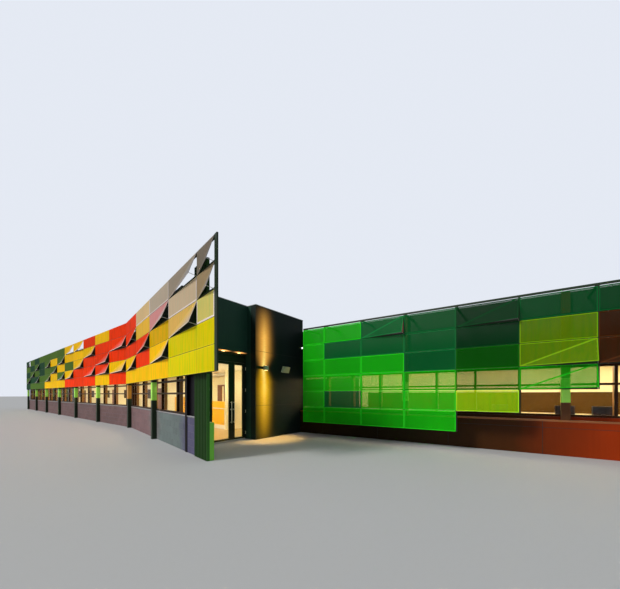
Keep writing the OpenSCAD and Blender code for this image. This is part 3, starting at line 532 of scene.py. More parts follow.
def set_out(name, item, material, places, spread=0.0, seed=1):
    """Sets one item at each place, which is a point, its turn and its size."""
    points = bpy.data.meshes.new(name + "_points")
    points.from_pydata([tuple(p) for p, _, _ in places], [], [])
    for mark, vectors in (("turn", [(0.0, 0.0, turn) for _, turn, _ in places]),
                          ("size", [size for _, _, size in places])):
        marks = points.attributes.new(mark, "FLOAT_VECTOR", "POINT")
        marks.data.foreach_set("vector", [v for vector in vectors for v in vector])
    carrier, master = placed(name + "_points", points), placed(name + "_item", item)
    modifier = carrier.modifiers.new("setting_out", "NODES")
    modifier.node_group = SETTING_OUT
    sockets = {s.name: s.identifier for s in SETTING_OUT.interface.items_tree if s.in_out == "INPUT"}
    for socket, value in (("Item", master), ("Finish", material), ("Shade spread", spread), ("Seed", seed)):
        modifier[sockets[socket]] = value
    evaluated = carrier.evaluated_get(bpy.context.evaluated_depsgraph_get())
    mesh = bpy.data.meshes.new_from_object(evaluated)
    mesh.name = name
    for unused in (carrier, master):
        bpy.data.objects.remove(unused)
    mounted(name, mesh)


def unit_box(name, low=(0, 0, 0)):
    """A cube one metre wide from its lowest corner, to be sized where it is set."""
    bm = bmesh.new()
    add_box(bm, PLAN, low, [v + 1 for v in low])
    return cast(name, bm)


def course(length, row):
    """Starts and widths of the blocks of a course, with a half block at each end of every other one."""
    count = round(length / BLOCK_L)
    pitch = length / count
    if row % 2 == 0:
        return [(k * pitch, pitch) for k in range(count)]
    whole = [((k + 0.5) * pitch, pitch) for k in range(count - 1)]
    return [(0, pitch / 2), *whole, (length - pitch / 2, pitch / 2)]


def wall_blocks(matrix, turn, start, length):
    """Places of the blocks of one straight length of wall, each set from its corner far from the near end."""
    places = []
    for row in range(round(SILL_Z / COURSE_H)):
        for x, width in course(length, row):
            corner = (start + x + width - MORTAR / 2, WALL_GAP - BLOCK_FACE, row * COURSE_H + MORTAR / 2)
            size = (width - MORTAR, BLOCK_FACE + BLOCK_BITE, COURSE_H - MORTAR)
            places.append((matrix @ Vector(corner), -turn, size))
    return places


set_out("wall_blocks", unit_box("block"), grey_block,
        wall_blocks(NEAR, NEAR_TURN, BAY_START, near_end(WALL_GAP) - BAY_START)
        + wall_blocks(FAR, FAR_TURN, 0.0, FAR_LEN), spread=0.10, seed=4)
finish(mortar, "block_wall")
boxes("window_sills", sill_metal, [
    (matrix, (a, WALL_GAP - SILL_NOSE, SILL_Z - SILL_T), (b, WALL_GAP + SILL_BACK, SILL_Z))
    for matrix, a, b in ((NEAR, JAMB_END, near_end(WALL_GAP)), (FAR, 0.0, FAR_LEN),
                         (NEAR, BAY_START, BAY_START + DARK_BAY_W))])

# Window bands. Steel frames with a dark brown finish, clear glass behind them, and brown timber linings on
# the room side of every upright.
HEAD_Z = 1.220
BLOCK_W = 1.445
BEND_GAP = 0.05
LINING_T = 0.016
LINING_OUT = 0.186
LINING_IN = 0.236
RIGHT_LINING_T = 0.024
RIGHT_LINING_OUT = BLOCK_W + 0.075
RIGHT_LINING_IN = BLOCK_W + 0.150
UPRIGHTS = (0.375, 1.250, 2.125)
RIGHT_UPRIGHTS = (0.500, 1.075, 1.650)
RIGHT_POST_X = 2.275
RIGHT_POST_BAY = 2.150
RIGHT_END_GAP = 0.1
window_frame = paint("window_frame", (0.028, 0.011, 0.004), 0.4, patches=0.2, streaks=0.1, gloss=0.1)
lining = paint("window_lining", (0.34, 0.155, 0.030), 0.45, patches=0.2, streaks=0.2)
glass, glass_tree, clear = plain_coat("window_glass")
ripple = glass_tree.nodes.new("ShaderNodeBump")
feed(glass_tree, (
    (ripple.inputs["Distance"], 0.0004), (ripple.inputs["Height"], noise(glass_tree, 1.5)),
    (clear["Base Color"], (0.96, 0.98, 0.96, 1)), (clear["Roughness"], 0.02), (clear["IOR"], 1.06),
    (clear["Transmission Weight"], 1.0), (clear["Normal"], ripple.outputs["Normal"])))
finish(window_frame, "left_window_frames", "right_window_frames", "back_window_frames")
finish(glass, "left_glass", "right_glass", "back_glass", "entrance_glass", "left_door_glass",
       "right_door_glass")
lining_places = [(NEAR, x) for k in range(2) for u in UPRIGHTS for x in [0.5 * SHEET_W + k * BAY + u]
                 if JAMB_END < x < NEAR_LEN - BEND_GAP]
lining_places += [(FAR, k * BAY + u) for k in range(ROOM_BAYS) for u in UPRIGHTS]
linings = [(matrix, (x - LINING_T / 2, LINING_OUT, SILL_Z), (x + LINING_T / 2, LINING_IN, HEAD_Z))
           for matrix, x in lining_places]
linings += [(PLAN, (x - RIGHT_LINING_T / 2, RIGHT_LINING_OUT, SILL_Z),
             (x + RIGHT_LINING_T / 2, RIGHT_LINING_IN, HEAD_Z))
            for k in range(-1, 3) for u in RIGHT_UPRIGHTS for x in [RIGHT_POST_X + k * RIGHT_POST_BAY + u]
            if RIGHT_END_GAP < x < RIGHT_LEN - RIGHT_END_GAP]
boxes("window_linings", lining, linings)

# Posts, pier and jamb. Painted steel, dark green on the left and brown on the right, each wall post with a
# lime length under the screen, but an amber one at the bend. A clad pier and a low lime wall end the wing.
FROM_X = -20.0
TO_X = 8.0
BEND_X = (-4.6, -3.4)
RIGHT_X = 1.5
PIER_T = 0.522
PIER_FRONT = 0.092
PIER_BACK = 0.132
PIER_EDGE_T = 0.002
PIER_EDGE_TOP = 1.08
POST_GREEN = (0.010, 0.026, 0.009)
# Lime of the sleeves, painted as bright as the lamp light from the windows makes it: painted light.
SLEEVE_LIME_LAMP_LIT = (0.44, 1.00, 0.12)
green_steel = paint("green_steel", POST_GREEN, 0.42, patches=0.25, streaks=0.15, gloss=0.3)
pier_green = paint("pier_cladding", (0.014, 0.050, 0.008), 0.45, patches=0.25, streaks=0.25, gloss=0.1)
lime_paint = paint("lime_paint", (0.16, 0.56, 0.035), 0.38, patches=0.15, streaks=0.15)
sleeve_paint_lamp_lit = paint("sleeve_paint_lamp_lit", SLEEVE_LIME_LAMP_LIT, 0.38, patches=0.15, streaks=0.15)
along_x(sleeve_paint_lamp_lit, FROM_X, TO_X, (
    (FROM_X, SLEEVE_LIME_LAMP_LIT), (BEND_X[0], (0.72, 0.36, 0.04)), (BEND_X[1], SLEEVE_LIME_LAMP_LIT)), blend="CONSTANT")
post_paint = paint("post_paint", POST_GREEN, 0.42, patches=0.25, streaks=0.15, gloss=0.3)
along_x(post_paint, FROM_X, TO_X, ((FROM_X, POST_GREEN), (RIGHT_X, (0.100, 0.032, 0.004))), blend="CONSTANT")
dark_panel = paint("dark_panel", (0.003, 0.002, 0.004), 0.4, patches=0.2, gloss=0.08)
pier_edge = paint("pier_edge", (0.035, 0.140, 0.020), 0.4, patches=0.2, streaks=0.2, gloss=0.2)
finish(green_steel, "left_screen_frame", "right_screen_frame")
finish(post_paint, "wall_posts")
finish(pier_green, "screen_pier")
finish(sleeve_paint_lamp_lit, "post_sleeves")
finish(lime_paint, "lime_wall_end")
finish(dark_panel, "dark_bay_panel")
# A thin bright green strip on the pier's corner stands for the highlight along it: painted highlight.
boxes("pier_edge", pier_edge, [
    (NEAR, (PIER_T - PIER_EDGE_T, PIER_FRONT, 0.0), (PIER_T, PIER_BACK, PIER_EDGE_TOP))])

# Clad walls. Steel framing under metal sheet, dark green on the front and charcoal on the ends and the backs,
# where it has upright trapezoid ribs, set out one by one and cut at the windows.
RIB_PITCH = 0.095
RIB_W = 0.028
RIB_D = 0.007
WING_DEPTH = 4.000
BACK_WINDOW_W = 1.920
FRAME_EDGE = 0.012
SIDE_STEP = 0.005
LEFT_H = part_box("left_upper_wall")[1].z
RIGHT_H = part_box("right_upper_wall")[1].z
HALL_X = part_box("hall_parapets")[0].x
BACK_OUT = WALL_GAP + WING_DEPTH
RIGHT_BACK = BLOCK_W + WING_DEPTH
charcoal = paint("charcoal_cladding", (0.020, 0.027, 0.024), 0.45, patches=0.25, streaks=0.3)
block_green = paint("entrance_cladding", (0.012, 0.048, 0.032), 0.45, patches=0.3, streaks=0.3, gloss=0.15)
wall_green = paint("upper_wall_cladding", (0.008, 0.024, 0.010), 0.5, patches=0.25, streaks=0.25, gloss=0.3)
finish(charcoal, "end_walls", "back_walls", "hall_parapets", "right_upper_wall")
finish(block_green, "entrance_return", "entrance_fascia")
finish(wall_green, "left_upper_wall")

rib_bm = bmesh.new()
rib_section = [(-0.5, 0.0), (-0.32, -1.0), (0.32, -1.0), (0.5, 0.0)]
rib_rings = [[rib_bm.verts.new((x, y, z)) for x, y in rib_section] for z in (0, 1)]
rib_bm.faces.new(reversed(rib_rings[0]))
rib_bm.faces.new(rib_rings[1])
for k in range(len(rib_section)):
    n = (k + 1) % len(rib_section)
    rib_bm.faces.new((rib_rings[0][k], rib_rings[0][n], rib_rings[1][n], rib_rings[1][k]))
rib_mesh = cast("rib", rib_bm)


def rib_row(p0, p1, z1, holes=()):
    """Ribs on a wall face that runs from p0 to p1 with its outside on the right, clear of the windows."""
    run = Vector((p1[0] - p0[0], p1[1] - p0[1], 0))
    count = int(run.length / RIB_PITCH)
    places = []
    for k in range(count):
        d = (k + 0.5) * run.length / count
        point = Vector((p0[0], p0[1], 0)) + run.normalized() * d
        at_window = any(a - RIB_W / 2 < d < b + RIB_W / 2 for a, b in holes)
        for low, high in (((0.0, SILL_Z), (HEAD_Z, z1)) if at_window else ((0.0, z1),)):
            places.append(((point.x, point.y, low), math.atan2(run.y, run.x), (RIB_W, RIB_D, high - low)))
    return places


def at(matrix, x, y):
    """A place in plan."""
    return tuple(matrix @ Vector((x, y, 0)))[:2]


far_corner = FAR @ Vector((FAR_LEN, BACK_OUT, 0))
hall_corner_y = far_corner.y - (HALL_X - far_corner.x) * math.tan(FAR_TURN)
back_run = (Vector((HALL_X, hall_corner_y, 0)) - far_corner).length
window_edges = [(k * BAY + (BAY - BACK_WINDOW_W) / 2 - FRAME_EDGE,
                 k * BAY + (BAY + BACK_WINDOW_W) / 2 + FRAME_EDGE) for k in range(ROOM_BAYS)]
far_shift = back_run - FAR_LEN
ribs = rib_row((RIGHT_LEN, BLOCK_W), (RIGHT_LEN, RIGHT_BACK), RIGHT_H)
ribs += rib_row((RIGHT_LEN, RIGHT_BACK), (0.0, RIGHT_BACK), RIGHT_H,
                [(RIGHT_LEN - b, RIGHT_LEN - a) for a, b in window_edges[:3]])
ribs += rib_row((-SIDE_STEP, RIGHT_BACK), (HALL_X, RIGHT_BACK), RIGHT_H)
ribs += rib_row((HALL_X, RIGHT_BACK), (HALL_X, hall_corner_y + CLEARANCE), RIGHT_H)
ribs += rib_row((HALL_X, hall_corner_y), (far_corner.x, far_corner.y), LEFT_H,
                [(far_shift + a, far_shift + b) for a, b in window_edges])
ribs += rib_row(at(FAR, FAR_LEN, BACK_OUT), at(FAR, FAR_LEN, WALL_GAP), LEFT_H)
set_out("back_cladding_ribs", rib_mesh, charcoal, ribs, spread=0.06, seed=9)

# Copings. Folded metal caps, pale grey, clipped down on every parapet in one length between corners, with a
# drip edge past each face of the wall.
COPING_T = 0.010
COPING_LIP = 0.006
BESIDE = 2 * COPING_LIP
FASCIA_X = -0.217
BLOCK_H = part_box("hall_side_wall")[1].z
WALL_IN = WALL_GAP + WALL_T
coping_metal = paint("coping", (0.44, 0.46, 0.46), 0.35, patches=0.15, streaks=0.1)


def near_y(x, depth):
    """Where a line along the near part, at a depth into it, passes an X of the plan."""
    start = NEAR @ Vector((0, depth, 0))
    return start.y + (start.x - x) * math.tan(NEAR_TURN)


def cap(matrix, x0, x1, y0, y1, z):
    """A coping on a wall between two places of a wing."""
    return (matrix, (x0 - COPING_LIP, y0 - COPING_LIP, z), (x1 + COPING_LIP, y1 + COPING_LIP, z + COPING_T))


boxes("copings", coping_metal, [
    cap(PLAN, FASCIA_X - WALL_T, FASCIA_X, near_y(FASCIA_X - WALL_T, WALL_IN), 0.0, BLOCK_H),
    cap(PLAN, -WALL_T, 0.0, 0.0, BLOCK_W, BLOCK_H),
    cap(PLAN, FASCIA_X + BESIDE, -WALL_T - BESIDE, 0.0, WALL_T, BLOCK_H),
    cap(PLAN, HALL_X + WALL_T + BESIDE, -WALL_T - BESIDE, BLOCK_W - WALL_T, BLOCK_W, BLOCK_H),
    cap(NEAR, BAY_START, near_end(WALL_GAP) - CLEARANCE, WALL_GAP, WALL_IN, LEFT_H),
    cap(FAR, CLEARANCE, FAR_LEN, WALL_GAP, WALL_IN, LEFT_H),
    cap(FAR, FAR_LEN - WALL_T, FAR_LEN, WALL_IN + BESIDE, BACK_OUT, LEFT_H),
    cap(PLAN, CLEARANCE, RIGHT_LEN, BLOCK_W, BLOCK_W + WALL_T, RIGHT_H),
    cap(PLAN, RIGHT_LEN - WALL_T, RIGHT_LEN, BLOCK_W + WALL_T + BESIDE, RIGHT_BACK, RIGHT_H),
    cap(PLAN, HALL_X, RIGHT_LEN - WALL_T - BESIDE, RIGHT_BACK - WALL_T, RIGHT_BACK, RIGHT_H)])

# Roofs. Metal roof sheet in long strips behind the parapets, grey, each strip folded up at its sides and
# joined to the next one in a standing seam.
SEAM_PITCH = 0.200
SEAM_W = 0.010
SEAM_H = 0.020
FAR_ROOF_START = 0.3
roof_sheet = paint("roof_sheet", (0.30, 0.32, 0.32), 0.45, metal=0.3, patches=0.25, streaks=0.1)
finish(roof_sheet, "left_roof", "hall_roof", "right_roof")
LEFT_ROOF_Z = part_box("left_roof")[1].z
RIGHT_ROOF_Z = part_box("right_roof")[1].z
seams = []
for matrix, turn, x0, x1, y0, y1, z in (
        (FAR, -FAR_TURN, FAR_ROOF_START, FAR_LEN - WALL_T, WALL_IN, BACK_OUT - WALL_T, LEFT_ROOF_Z),
        (PLAN, 0.0, 0.0, RIGHT_LEN - WALL_T, BLOCK_W + WALL_T, RIGHT_BACK - WALL_T, RIGHT_ROOF_Z),
        (PLAN, 0.0, HALL_X + WALL_T, -WALL_T, BLOCK_W, RIGHT_BACK - WALL_T, RIGHT_ROOF_Z)):
    count = int((x1 - x0) / SEAM_PITCH)
    seams += [(matrix @ Vector((x0 + (k + 0.5) * (x1 - x0) / count, (y0 + y1) / 2, z)), turn,
               (SEAM_W, y1 - y0, SEAM_H)) for k in range(count)]
set_out("roof_seams", unit_box("seam", (-0.5, -0.5, 0)), roof_sheet, seams, spread=0.05, seed=3)

# Screens. Sheets of perforated steel, enamelled in lime, yellow, red and green, each with a plain margin and
# edges folded back to the frame. On some of them a lower corner is bent out along the sheet's diagonal.
SHEET_H = 0.300
SHEET_T = 0.006
SHEET_GAP = 0.008
SKIN_T = 0.0014
MARGIN = 0.010
FLAP_MARGIN = 0.014
HIGHLIGHT_MARGIN = 0.020
FOLD = math.radians(21)
END_POST_W = 0.065
LEFT_SCREEN_TOP = 2.581
RIGHT_COLUMNS = ["gggggg", "gdggdg", "Ddgggg", "dddggg", "Ddggl", "dlLG", "drR", "dgD", "gdG"]
RIGHT_SCREEN_Y = 0.873
RIGHT_FIRST_X = 0.920
RIGHT_SHEET_W = 0.748
PART_SHEET_W = 0.492
RIGHT_TOP = 2.085
HOLE_PITCH = 0.0085
HOLE_D = 0.0042
# Painted light and shade on the sheets: the left screen's lower rows brighter as if lit from below, the right
# screen's columns darker in shade, and the twelve top sheets nearest the entrance washed grey by painted
# glare and darkened. Set against the colours of the sheets measured in the photograph
ROW_PAINTED_UPLIGHT = (-0.22, -0.18, -0.18, -0.08, 0.0, 0.0)
RIGHT_PAINTED_SHADE = (0.0, 0.0, 0.0, -0.2, -0.75, -0.5, -0.5, -0.5, -0.5)
GLARE_GREY = (0.50, 0.50, 0.52)
GLARE_AND_SHADE = (((0.75, -0.50), (0.55, -0.42), (0.30, 0.05)), ((0.75, -0.35), (0.65, -0.02), (0.25, 0.0)),
         ((0.75, -0.08), (0.55, 0.0), (0.0, -0.16)), ((0.50, 0.0), (0.10, -0.08), (0.0, 0.0)))
TIP_SHEEN = 0.45
LEFT_WOBBLE = 0.04
RIGHT_WOBBLE = 0.06
# Greener streaks on the sheets, where coloured lights reflect in them: painted reflection.
REFLECTION_TINT = (0.80, 1.0, 1.0)
REFLECTION_STRETCH = (6.0, 6.0, 0.6)
REFLECTION_FROM = 0.46
REFLECTION_GAIN = 4.0
SHUT_FROM = 0.45
SHUT_OVER = 0.45


def perforation():
    """Shader group: round holes in staggered rows, from a map in metres."""
    group, given, out = node_group("perforation", "ShaderNodeTree", (("Pitch", "Float"), ("Hole", "Float")),
                                   [("Alpha", "Float")])
    new, maths = group.nodes.new, group_maths(group)
    sheet_map, split = new("ShaderNodeUVMap"), new("ShaderNodeSeparateXYZ")
    sheet_map.uv_map = "sheet_map"
    feed(group, [(split.inputs[0], sheet_map.outputs[0])])
    pitch = given["Pitch"]
    row_h = maths("MULTIPLY", pitch, math.sqrt(3) / 2)
    v = maths("DIVIDE", split.outputs["Y"], row_h)
    stagger = maths("MULTIPLY", maths("MODULO", maths("FLOOR", v), 2.0), 0.5)
    u = maths("ADD", maths("DIVIDE", split.outputs["X"], pitch), stagger)
    du = maths("MULTIPLY", maths("SUBTRACT", maths("FRACT", u), 0.5), pitch)
    dv = maths("MULTIPLY", maths("SUBTRACT", maths("FRACT", v), 0.5), row_h)
    distance = maths("SQRT", maths("ADD", maths("MULTIPLY", du, du), maths("MULTIPLY", dv, dv)))
    feed(group, [(out["Alpha"], maths("GREATER_THAN", distance, maths("MULTIPLY", given["Hole"], 0.5)))])
    return group


PERFORATION = perforation()
# Pale edges of the glare-washed sheets and of the bent corners, where they catch the light: painted
# highlight.
edge_highlight = paint("sheet_edge_highlight", (0.92, 0.80, 0.74), 0.4, patches=0.1, streaks=0.05, gloss=0.2)


def mixed(tree, share, first, second, blend="MIX"):
    """A colour between two others, the first one given or from a socket."""
    mix = tree.nodes.new("ShaderNodeMix")
    mix.data_type = "RGBA"
    mix.blend_type = blend
    if isinstance(first, (tuple, list)):
        first = (*first, 1)
    feed(tree, ((mix.inputs[0], share), (mix.inputs[6], first), (mix.inputs[7], (*second, 1))))
    return mix.outputs[2]


def two_tone(material, left, right):
    """Feeds a paint with one colour on the left screen and another on the right, the same enamel in the
    painted light of each screen; washes some sheets grey as painted glare and adds greener streaks of painted
    reflection.
    """
    tree = material.node_tree
    maths, glare = group_maths(tree), attribute(tree, "glare")
    colour = mixed(tree, glare, mixed(tree, attribute(tree, "right_screen"), left, right), GLARE_GREY)
    streaks = noise(tree, detail=0.0, stretch=REFLECTION_STRETCH)
    share = maths("MULTIPLY", maths("SUBTRACT", streaks, REFLECTION_FROM), REFLECTION_GAIN, clamp=True)
    share = maths("MULTIPLY", share, maths("SUBTRACT", 1.0, glare))
    colour = mixed(tree, share, colour, REFLECTION_TINT, "MULTIPLY")
    feed(tree, [(tree.nodes["weathering"].inputs["Color"], colour)])


def enamel(name, left, right):
    """The perforated and the plain finish of the sheets of one colour, the plain one painted lighter as a
    highlight. Seen at a low angle, the holes close up as they do in a sheet of real thickness."""
    holed = paint(name, left, 0.5, patch=0.9, patches=0.22, streaks=0.14, gloss=0.02)
    plain_margin_highlit = paint(name + "_edge", left, 0.45, patches=0.12, streaks=0.08, gloss=0.03)
    two_tone(holed, left, right)
    # The plain margin is painted lighter than the field, on the right screen most, as a highlight along the
    # edges.
    two_tone(plain_margin_highlit, [min(1.0, 1.1 * c + 0.01) for c in left], [min(1.0, 1.7 * c + 0.005) for c in right])
    tree = holed.node_tree
    maths = group_maths(tree)
    facing = tree.nodes.new("ShaderNodeLayerWeight")
    facing.inputs["Blend"].default_value = 0.5
    shut = maths("DIVIDE", maths("SUBTRACT", facing.outputs["Facing"], SHUT_FROM), SHUT_OVER, clamp=True)
    holes = tree.nodes.new("ShaderNodeGroup")
    holes.node_tree = PERFORATION
    feed(tree, ((holes.inputs["Pitch"], HOLE_PITCH),
                (holes.inputs["Hole"], maths("MULTIPLY", maths("SUBTRACT", 1.0, shut), HOLE_D)),
                (tree.nodes["Principled BSDF"].inputs["Alpha"], holes.outputs["Alpha"])))
    return [holed, plain_margin_highlit, edge_highlight]


def inset(outline, by):
    """A convex outline drawn in by a margin."""
    drawn = []
    n = len(outline)
    for k in range(n):
        p, a, b = Vector(outline[k]), Vector(outline[k - 1]), Vector(outline[(k + 1) % n])
        e0, e1 = (p - a).normalized(), (b - p).normalized()
        n0, n1 = Vector((-e0.y, e0.x)), Vector((-e1.y, e1.x))
        drawn.append(p + (n0 + n1) * by / (1 + n0.dot(n1)))
    return drawn


def add_sheet(bm, layers, matrix, outline, lips, highlit, tones, margin=MARGIN, sheen=0.0):
    """A thin tray, its front at Y 0: the perforated field, the margin and the edges that are folded back,
    some of them in a pale painted highlight. Its first corner can carry a painted sheen, paler than the rest."""
    uv, *tone_layers = layers
    flip = matrix.determinant() < 0
    inner = inset(outline, margin)
    front = [bm.verts.new(matrix @ Vector((x, 0, z))) for x, z in outline]
    field = [bm.verts.new(matrix @ Vector((p.x, 0, p.y))) for p in inner]
    back = [bm.verts.new(matrix @ Vector((x, SHEET_T, z))) for x, z in outline]
    for vert in front + field + back:
        for layer, tone in zip(tone_layers, tones):
            vert[layer] = tone
    for corner in (front[0], field[0], back[0]):
        corner[tone_layers[2]] = min(1.0, tones[2] + sheen)
    n = len(outline)
    faces = [(field, 0)]
    for k in range(n):
        m = (k + 1) % n
        faces.append(([front[k], front[m], field[m], field[k]], 2 if k in highlit else 1))
        if k in lips:
            faces.append(([back[k], back[m], front[m], front[k]], 2 if k in highlit else 1))
    for verts, index in faces:
        face = bm.faces.new(reversed(verts) if flip else verts)
        face.material_index = index
        if index == 0:
            spots = [(p.x, p.y) for p in inner]
            for loop, spot in zip(face.loops, reversed(spots) if flip else spots):
                loop[uv].uv = spot


def sheet_places():
    """Every sheet of both screens: its letter, its frame with X along it from the corner that may be bent,
    its width, and its tones: its own tone with painted light and shade, which screen it is on, and its
    painted glare."""
    for matrix, columns, start in ((NEAR, NEAR_COLUMNS, -0.5), (FAR, FAR_COLUMNS, 0.0)):
        for i, column in enumerate(columns):
            x = END_POST_W if start and i == 0 else (i + start) * SHEET_W
            width = (i + 1 + start) * SHEET_W - x
            for j, letter in enumerate(column):
                glare, tone_and_painted_light = GLARE_AND_SHADE[i][j] if start and i < len(GLARE_AND_SHADE) and j < 3 else (0.0, 0.0)
                tone_and_painted_light += ROW_PAINTED_UPLIGHT[j] + LEFT_WOBBLE * math.sin(i * 2.4 + j)
                place = Matrix.Translation((x, 0, LEFT_SCREEN_TOP - (j + 1) * SHEET_H))
                yield letter, matrix @ place, width, (tone_and_painted_light, 0.0, glare)
    for i, column in enumerate(RIGHT_COLUMNS):
        width = PART_SHEET_W if i == 0 else RIGHT_SHEET_W
        x = RIGHT_FIRST_X + i * RIGHT_SHEET_W
        for j, letter in enumerate(column):
            place = Matrix.Translation((x, RIGHT_SCREEN_Y, RIGHT_TOP - (j + 1) * SHEET_H))
            tone_and_painted_light = (RIGHT_PAINTED_SHADE[i] if j < 4 else 0.0) + RIGHT_WOBBLE * math.sin(i * 1.7 + 2 * j)
            yield letter, place @ Matrix.Scale(-1, 4, (1, 0, 0)), width, (tone_and_painted_light, 1.0, 0.0)


def screen_sheets(letter, name, node, left, right):
    """All sheets of one colour, which take the place of the node's own."""
    bm = bmesh.new()
    layers = (bm.loops.layers.uv.new("sheet_map"), bm.verts.layers.float.new("tone_and_painted_light"),
              bm.verts.layers.float.new("right_screen"), bm.verts.layers.float.new("glare"))
    for own, matrix, width, tones in sheet_places():
        if own.lower() != letter:
            continue
        w, h = width - SHEET_GAP, SHEET_H - SHEET_GAP
        corner = matrix @ Matrix.Translation((SHEET_GAP / 2, 0, SHEET_GAP / 2))
        if own.islower():
            highlit = (0, 1, 3) if tones[2] > 0.2 else ()
            add_sheet(bm, layers, corner, [(0, 0), (w, 0), (w, h), (0, h)], (0, 1, 2, 3), highlit, tones,
                      HIGHLIGHT_MARGIN if highlit else MARGIN)
            continue
        add_sheet(bm, layers, corner, [(0, h), (w, 0), (w, h)], (1, 2), (), tones)
        a = math.atan(h / w)
        flap = (corner @ Matrix.Translation((0, SHEET_T, h)) @ Matrix.Rotation(a, 4, "Y")
                @ Matrix.Rotation(-FOLD, 4, "X") @ Matrix.Translation((0, -SHEET_T, 0)))
        outline = [(h * math.sin(a), -h * math.cos(a)), (math.hypot(w, h), 0), (0, 0)]
        on_left = tones[1] == 0
        add_sheet(bm, layers, flap, outline, (0, 2), (0, 2) if on_left else (), tones,
                  FLAP_MARGIN if on_left else MARGIN, TIP_SHEEN if on_left else 0.0)
    piece = made(name, bm, enamel(name, left, right))
    thick = piece.modifiers.new("thickness", "SOLIDIFY")
    thick.thickness = SKIN_T
    thick.offset = -1
    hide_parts(node)


# Each enamel gets one colour on the left screen and one on the right: the same enamel as the different light
# of the two screens makes it look, painted light.
screen_sheets("l", "lime_screen_sheets", "lime_sheets",
              (0.77, 0.62, 0.001), (0.23, 0.45, 0.003))
screen_sheets("y", "yellow_screen_sheets", "yellow_sheets",
              (1.0, 0.54, 0.001), (0.25, 0.45, 0.003))
screen_sheets("r", "red_screen_sheets", "red_sheets",
              (1.0, 0.044, 0.001), (0.085, 0.022, 0.004))
screen_sheets("g", "green_screen_sheets", "green_sheets",
              (0.080, 0.155, 0.016), (0.009, 0.42, 0.006))
screen_sheets("d", "dark_green_screen_sheets", "dark_green_sheets",
              (0.010, 0.055, 0.020), (0.002, 0.120, 0.026))

# Rivets and struts of the screens. Small domed steel heads along the upper margins fix the sheets to the
# tubes behind them, and bare steel struts hold the folded corners out.
RIVET_R = 0.0035
RIVET_STEP = 0.145
RIVET_OUT = 0.0005
rivet_bm = bmesh.new()
bmesh.ops.create_cone(rivet_bm, cap_ends=True, segments=6, radius1=1.0, radius2=0.45, depth=0.6,
                      matrix=Matrix.Rotation(math.pi / 2, 4, "X"))
rivet_mesh = cast("rivet", rivet_bm)
rivets = []
for _, matrix, width, _ in sheet_places():
    count = max(2, round(width / RIVET_STEP))
    inward = matrix.to_3x3() @ Vector((0, 1, 0))
    turn = math.atan2(-inward.x, inward.y)
    for k in range(count):
        x = SHEET_GAP + (k + 0.5) * (width - 2 * SHEET_GAP) / count
        rivets.append((matrix @ Vector((x, -RIVET_OUT, SHEET_H - SHEET_GAP)), turn, (RIVET_R,) * 3))
rivet_steel = paint("rivet_steel", (0.42, 0.42, 0.40), 0.35, metal=0.8)
strut_steel = paint("strut_steel", (0.50, 0.52, 0.52), 0.35, metal=0.7, streaks=0.1)
set_out("screen_rivets", rivet_mesh, rivet_steel, rivets)
finish(strut_steel, "fold_struts")

# Entrance. Steel doors with a near-black green finish, pulls and hinges of brushed steel, a pale threshold,
# and a dark soffit with two small round lights.
SOFFIT_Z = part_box("entrance_soffit")[0].z
DOWNLIGHTS = ((-0.262, -0.520), (-0.262, -0.170))
DOWNLIGHT_R = 0.030
LENS_T = 0.004
SPOT_REACH = 0.20
SPOT_FALL = 2.2
DOOR_FOOT = 0.019
DOOR_H = 1.380
HINGE_EDGE = 0.075
HINGE_PITCH = (DOOR_H - 2 * HINGE_EDGE - 0.050) / 3
HINGE_R = 0.0068
HINGE_L = 0.054
HINGE_X = -0.250
HINGE_DROP = 0.002
HINGE_YS = (("narrow_leaf_hinges", "narrow_leaf", -0.014), ("wide_leaf_hinges", "wide_leaf", -0.805))
HINGE_ZS = [DOOR_FOOT + HINGE_EDGE + k * HINGE_PITCH for k in range(4)]
LOCK_X = -0.257
LOCK_YS = (("narrow_leaf_lock", "narrow_leaf", -0.300), ("wide_leaf_lock", "wide_leaf", -0.355))
LOCK_Z = 0.560
LOCK_R = 0.012
LOCK_T = 0.006
door_paint = paint("door_paint", (0.006, 0.015, 0.007), 0.36, patches=0.2, streaks=0.08, gloss=0.35)
soffit_lining = paint("soffit_lining", (0.022, 0.018, 0.012), 0.7)
# Brushed steel for pulls, hinges and locks, painted paler and warmer than bare steel, as its bright
# reflections make it: partly painted reflection.
pull_steel = paint("pull_steel", (0.80, 0.78, 0.56), 0.42, metal=0.5, patches=0.1, streaks=0.15)
threshold_metal = paint("threshold", (0.62, 0.62, 0.60), 0.4, metal=0.4, patches=0.2)
finish(door_paint, "entrance_frame", "left_door", "right_door")
finish(pull_steel, "left_door_pull", "right_door_pull")
finish(threshold_metal, "door_threshold")
finish(soffit_lining, "entrance_soffit")


def shine(material, colour, light):
    """Feeds a material's emission with a colour, given or from a socket, times a changing light."""
    tree = material.node_tree
    shader, lit = tree.nodes["Principled BSDF"].inputs, tree.nodes.new("ShaderNodeVectorMath")
    lit.operation = "SCALE"
    feed(tree, ((lit.inputs[0], colour), (lit.inputs["Scale"], light), (shader["Emission Strength"], 1.0),
                (shader["Emission Color"], lit.outputs[0])))


def warm_spots(material, colour, centres, reach):
    """Lights a surface round some centres, as lamps close to it do."""
    tree = material.node_tree
    maths = group_maths(tree)
    place = tree.nodes.new("ShaderNodeTexCoord")
    total = 0.0
    for centre in centres:
        apart = tree.nodes.new("ShaderNodeVectorMath")
        apart.operation = "DISTANCE"
        feed(tree, ((apart.inputs[0], place.outputs["Object"]), (apart.inputs[1], centre)))
        near = maths("SUBTRACT", 1.0, maths("DIVIDE", apart.outputs["Value"], reach), clamp=True)
        total = maths("ADD", maths("POWER", near, SPOT_FALL), total)
    shine(material, colour, total)


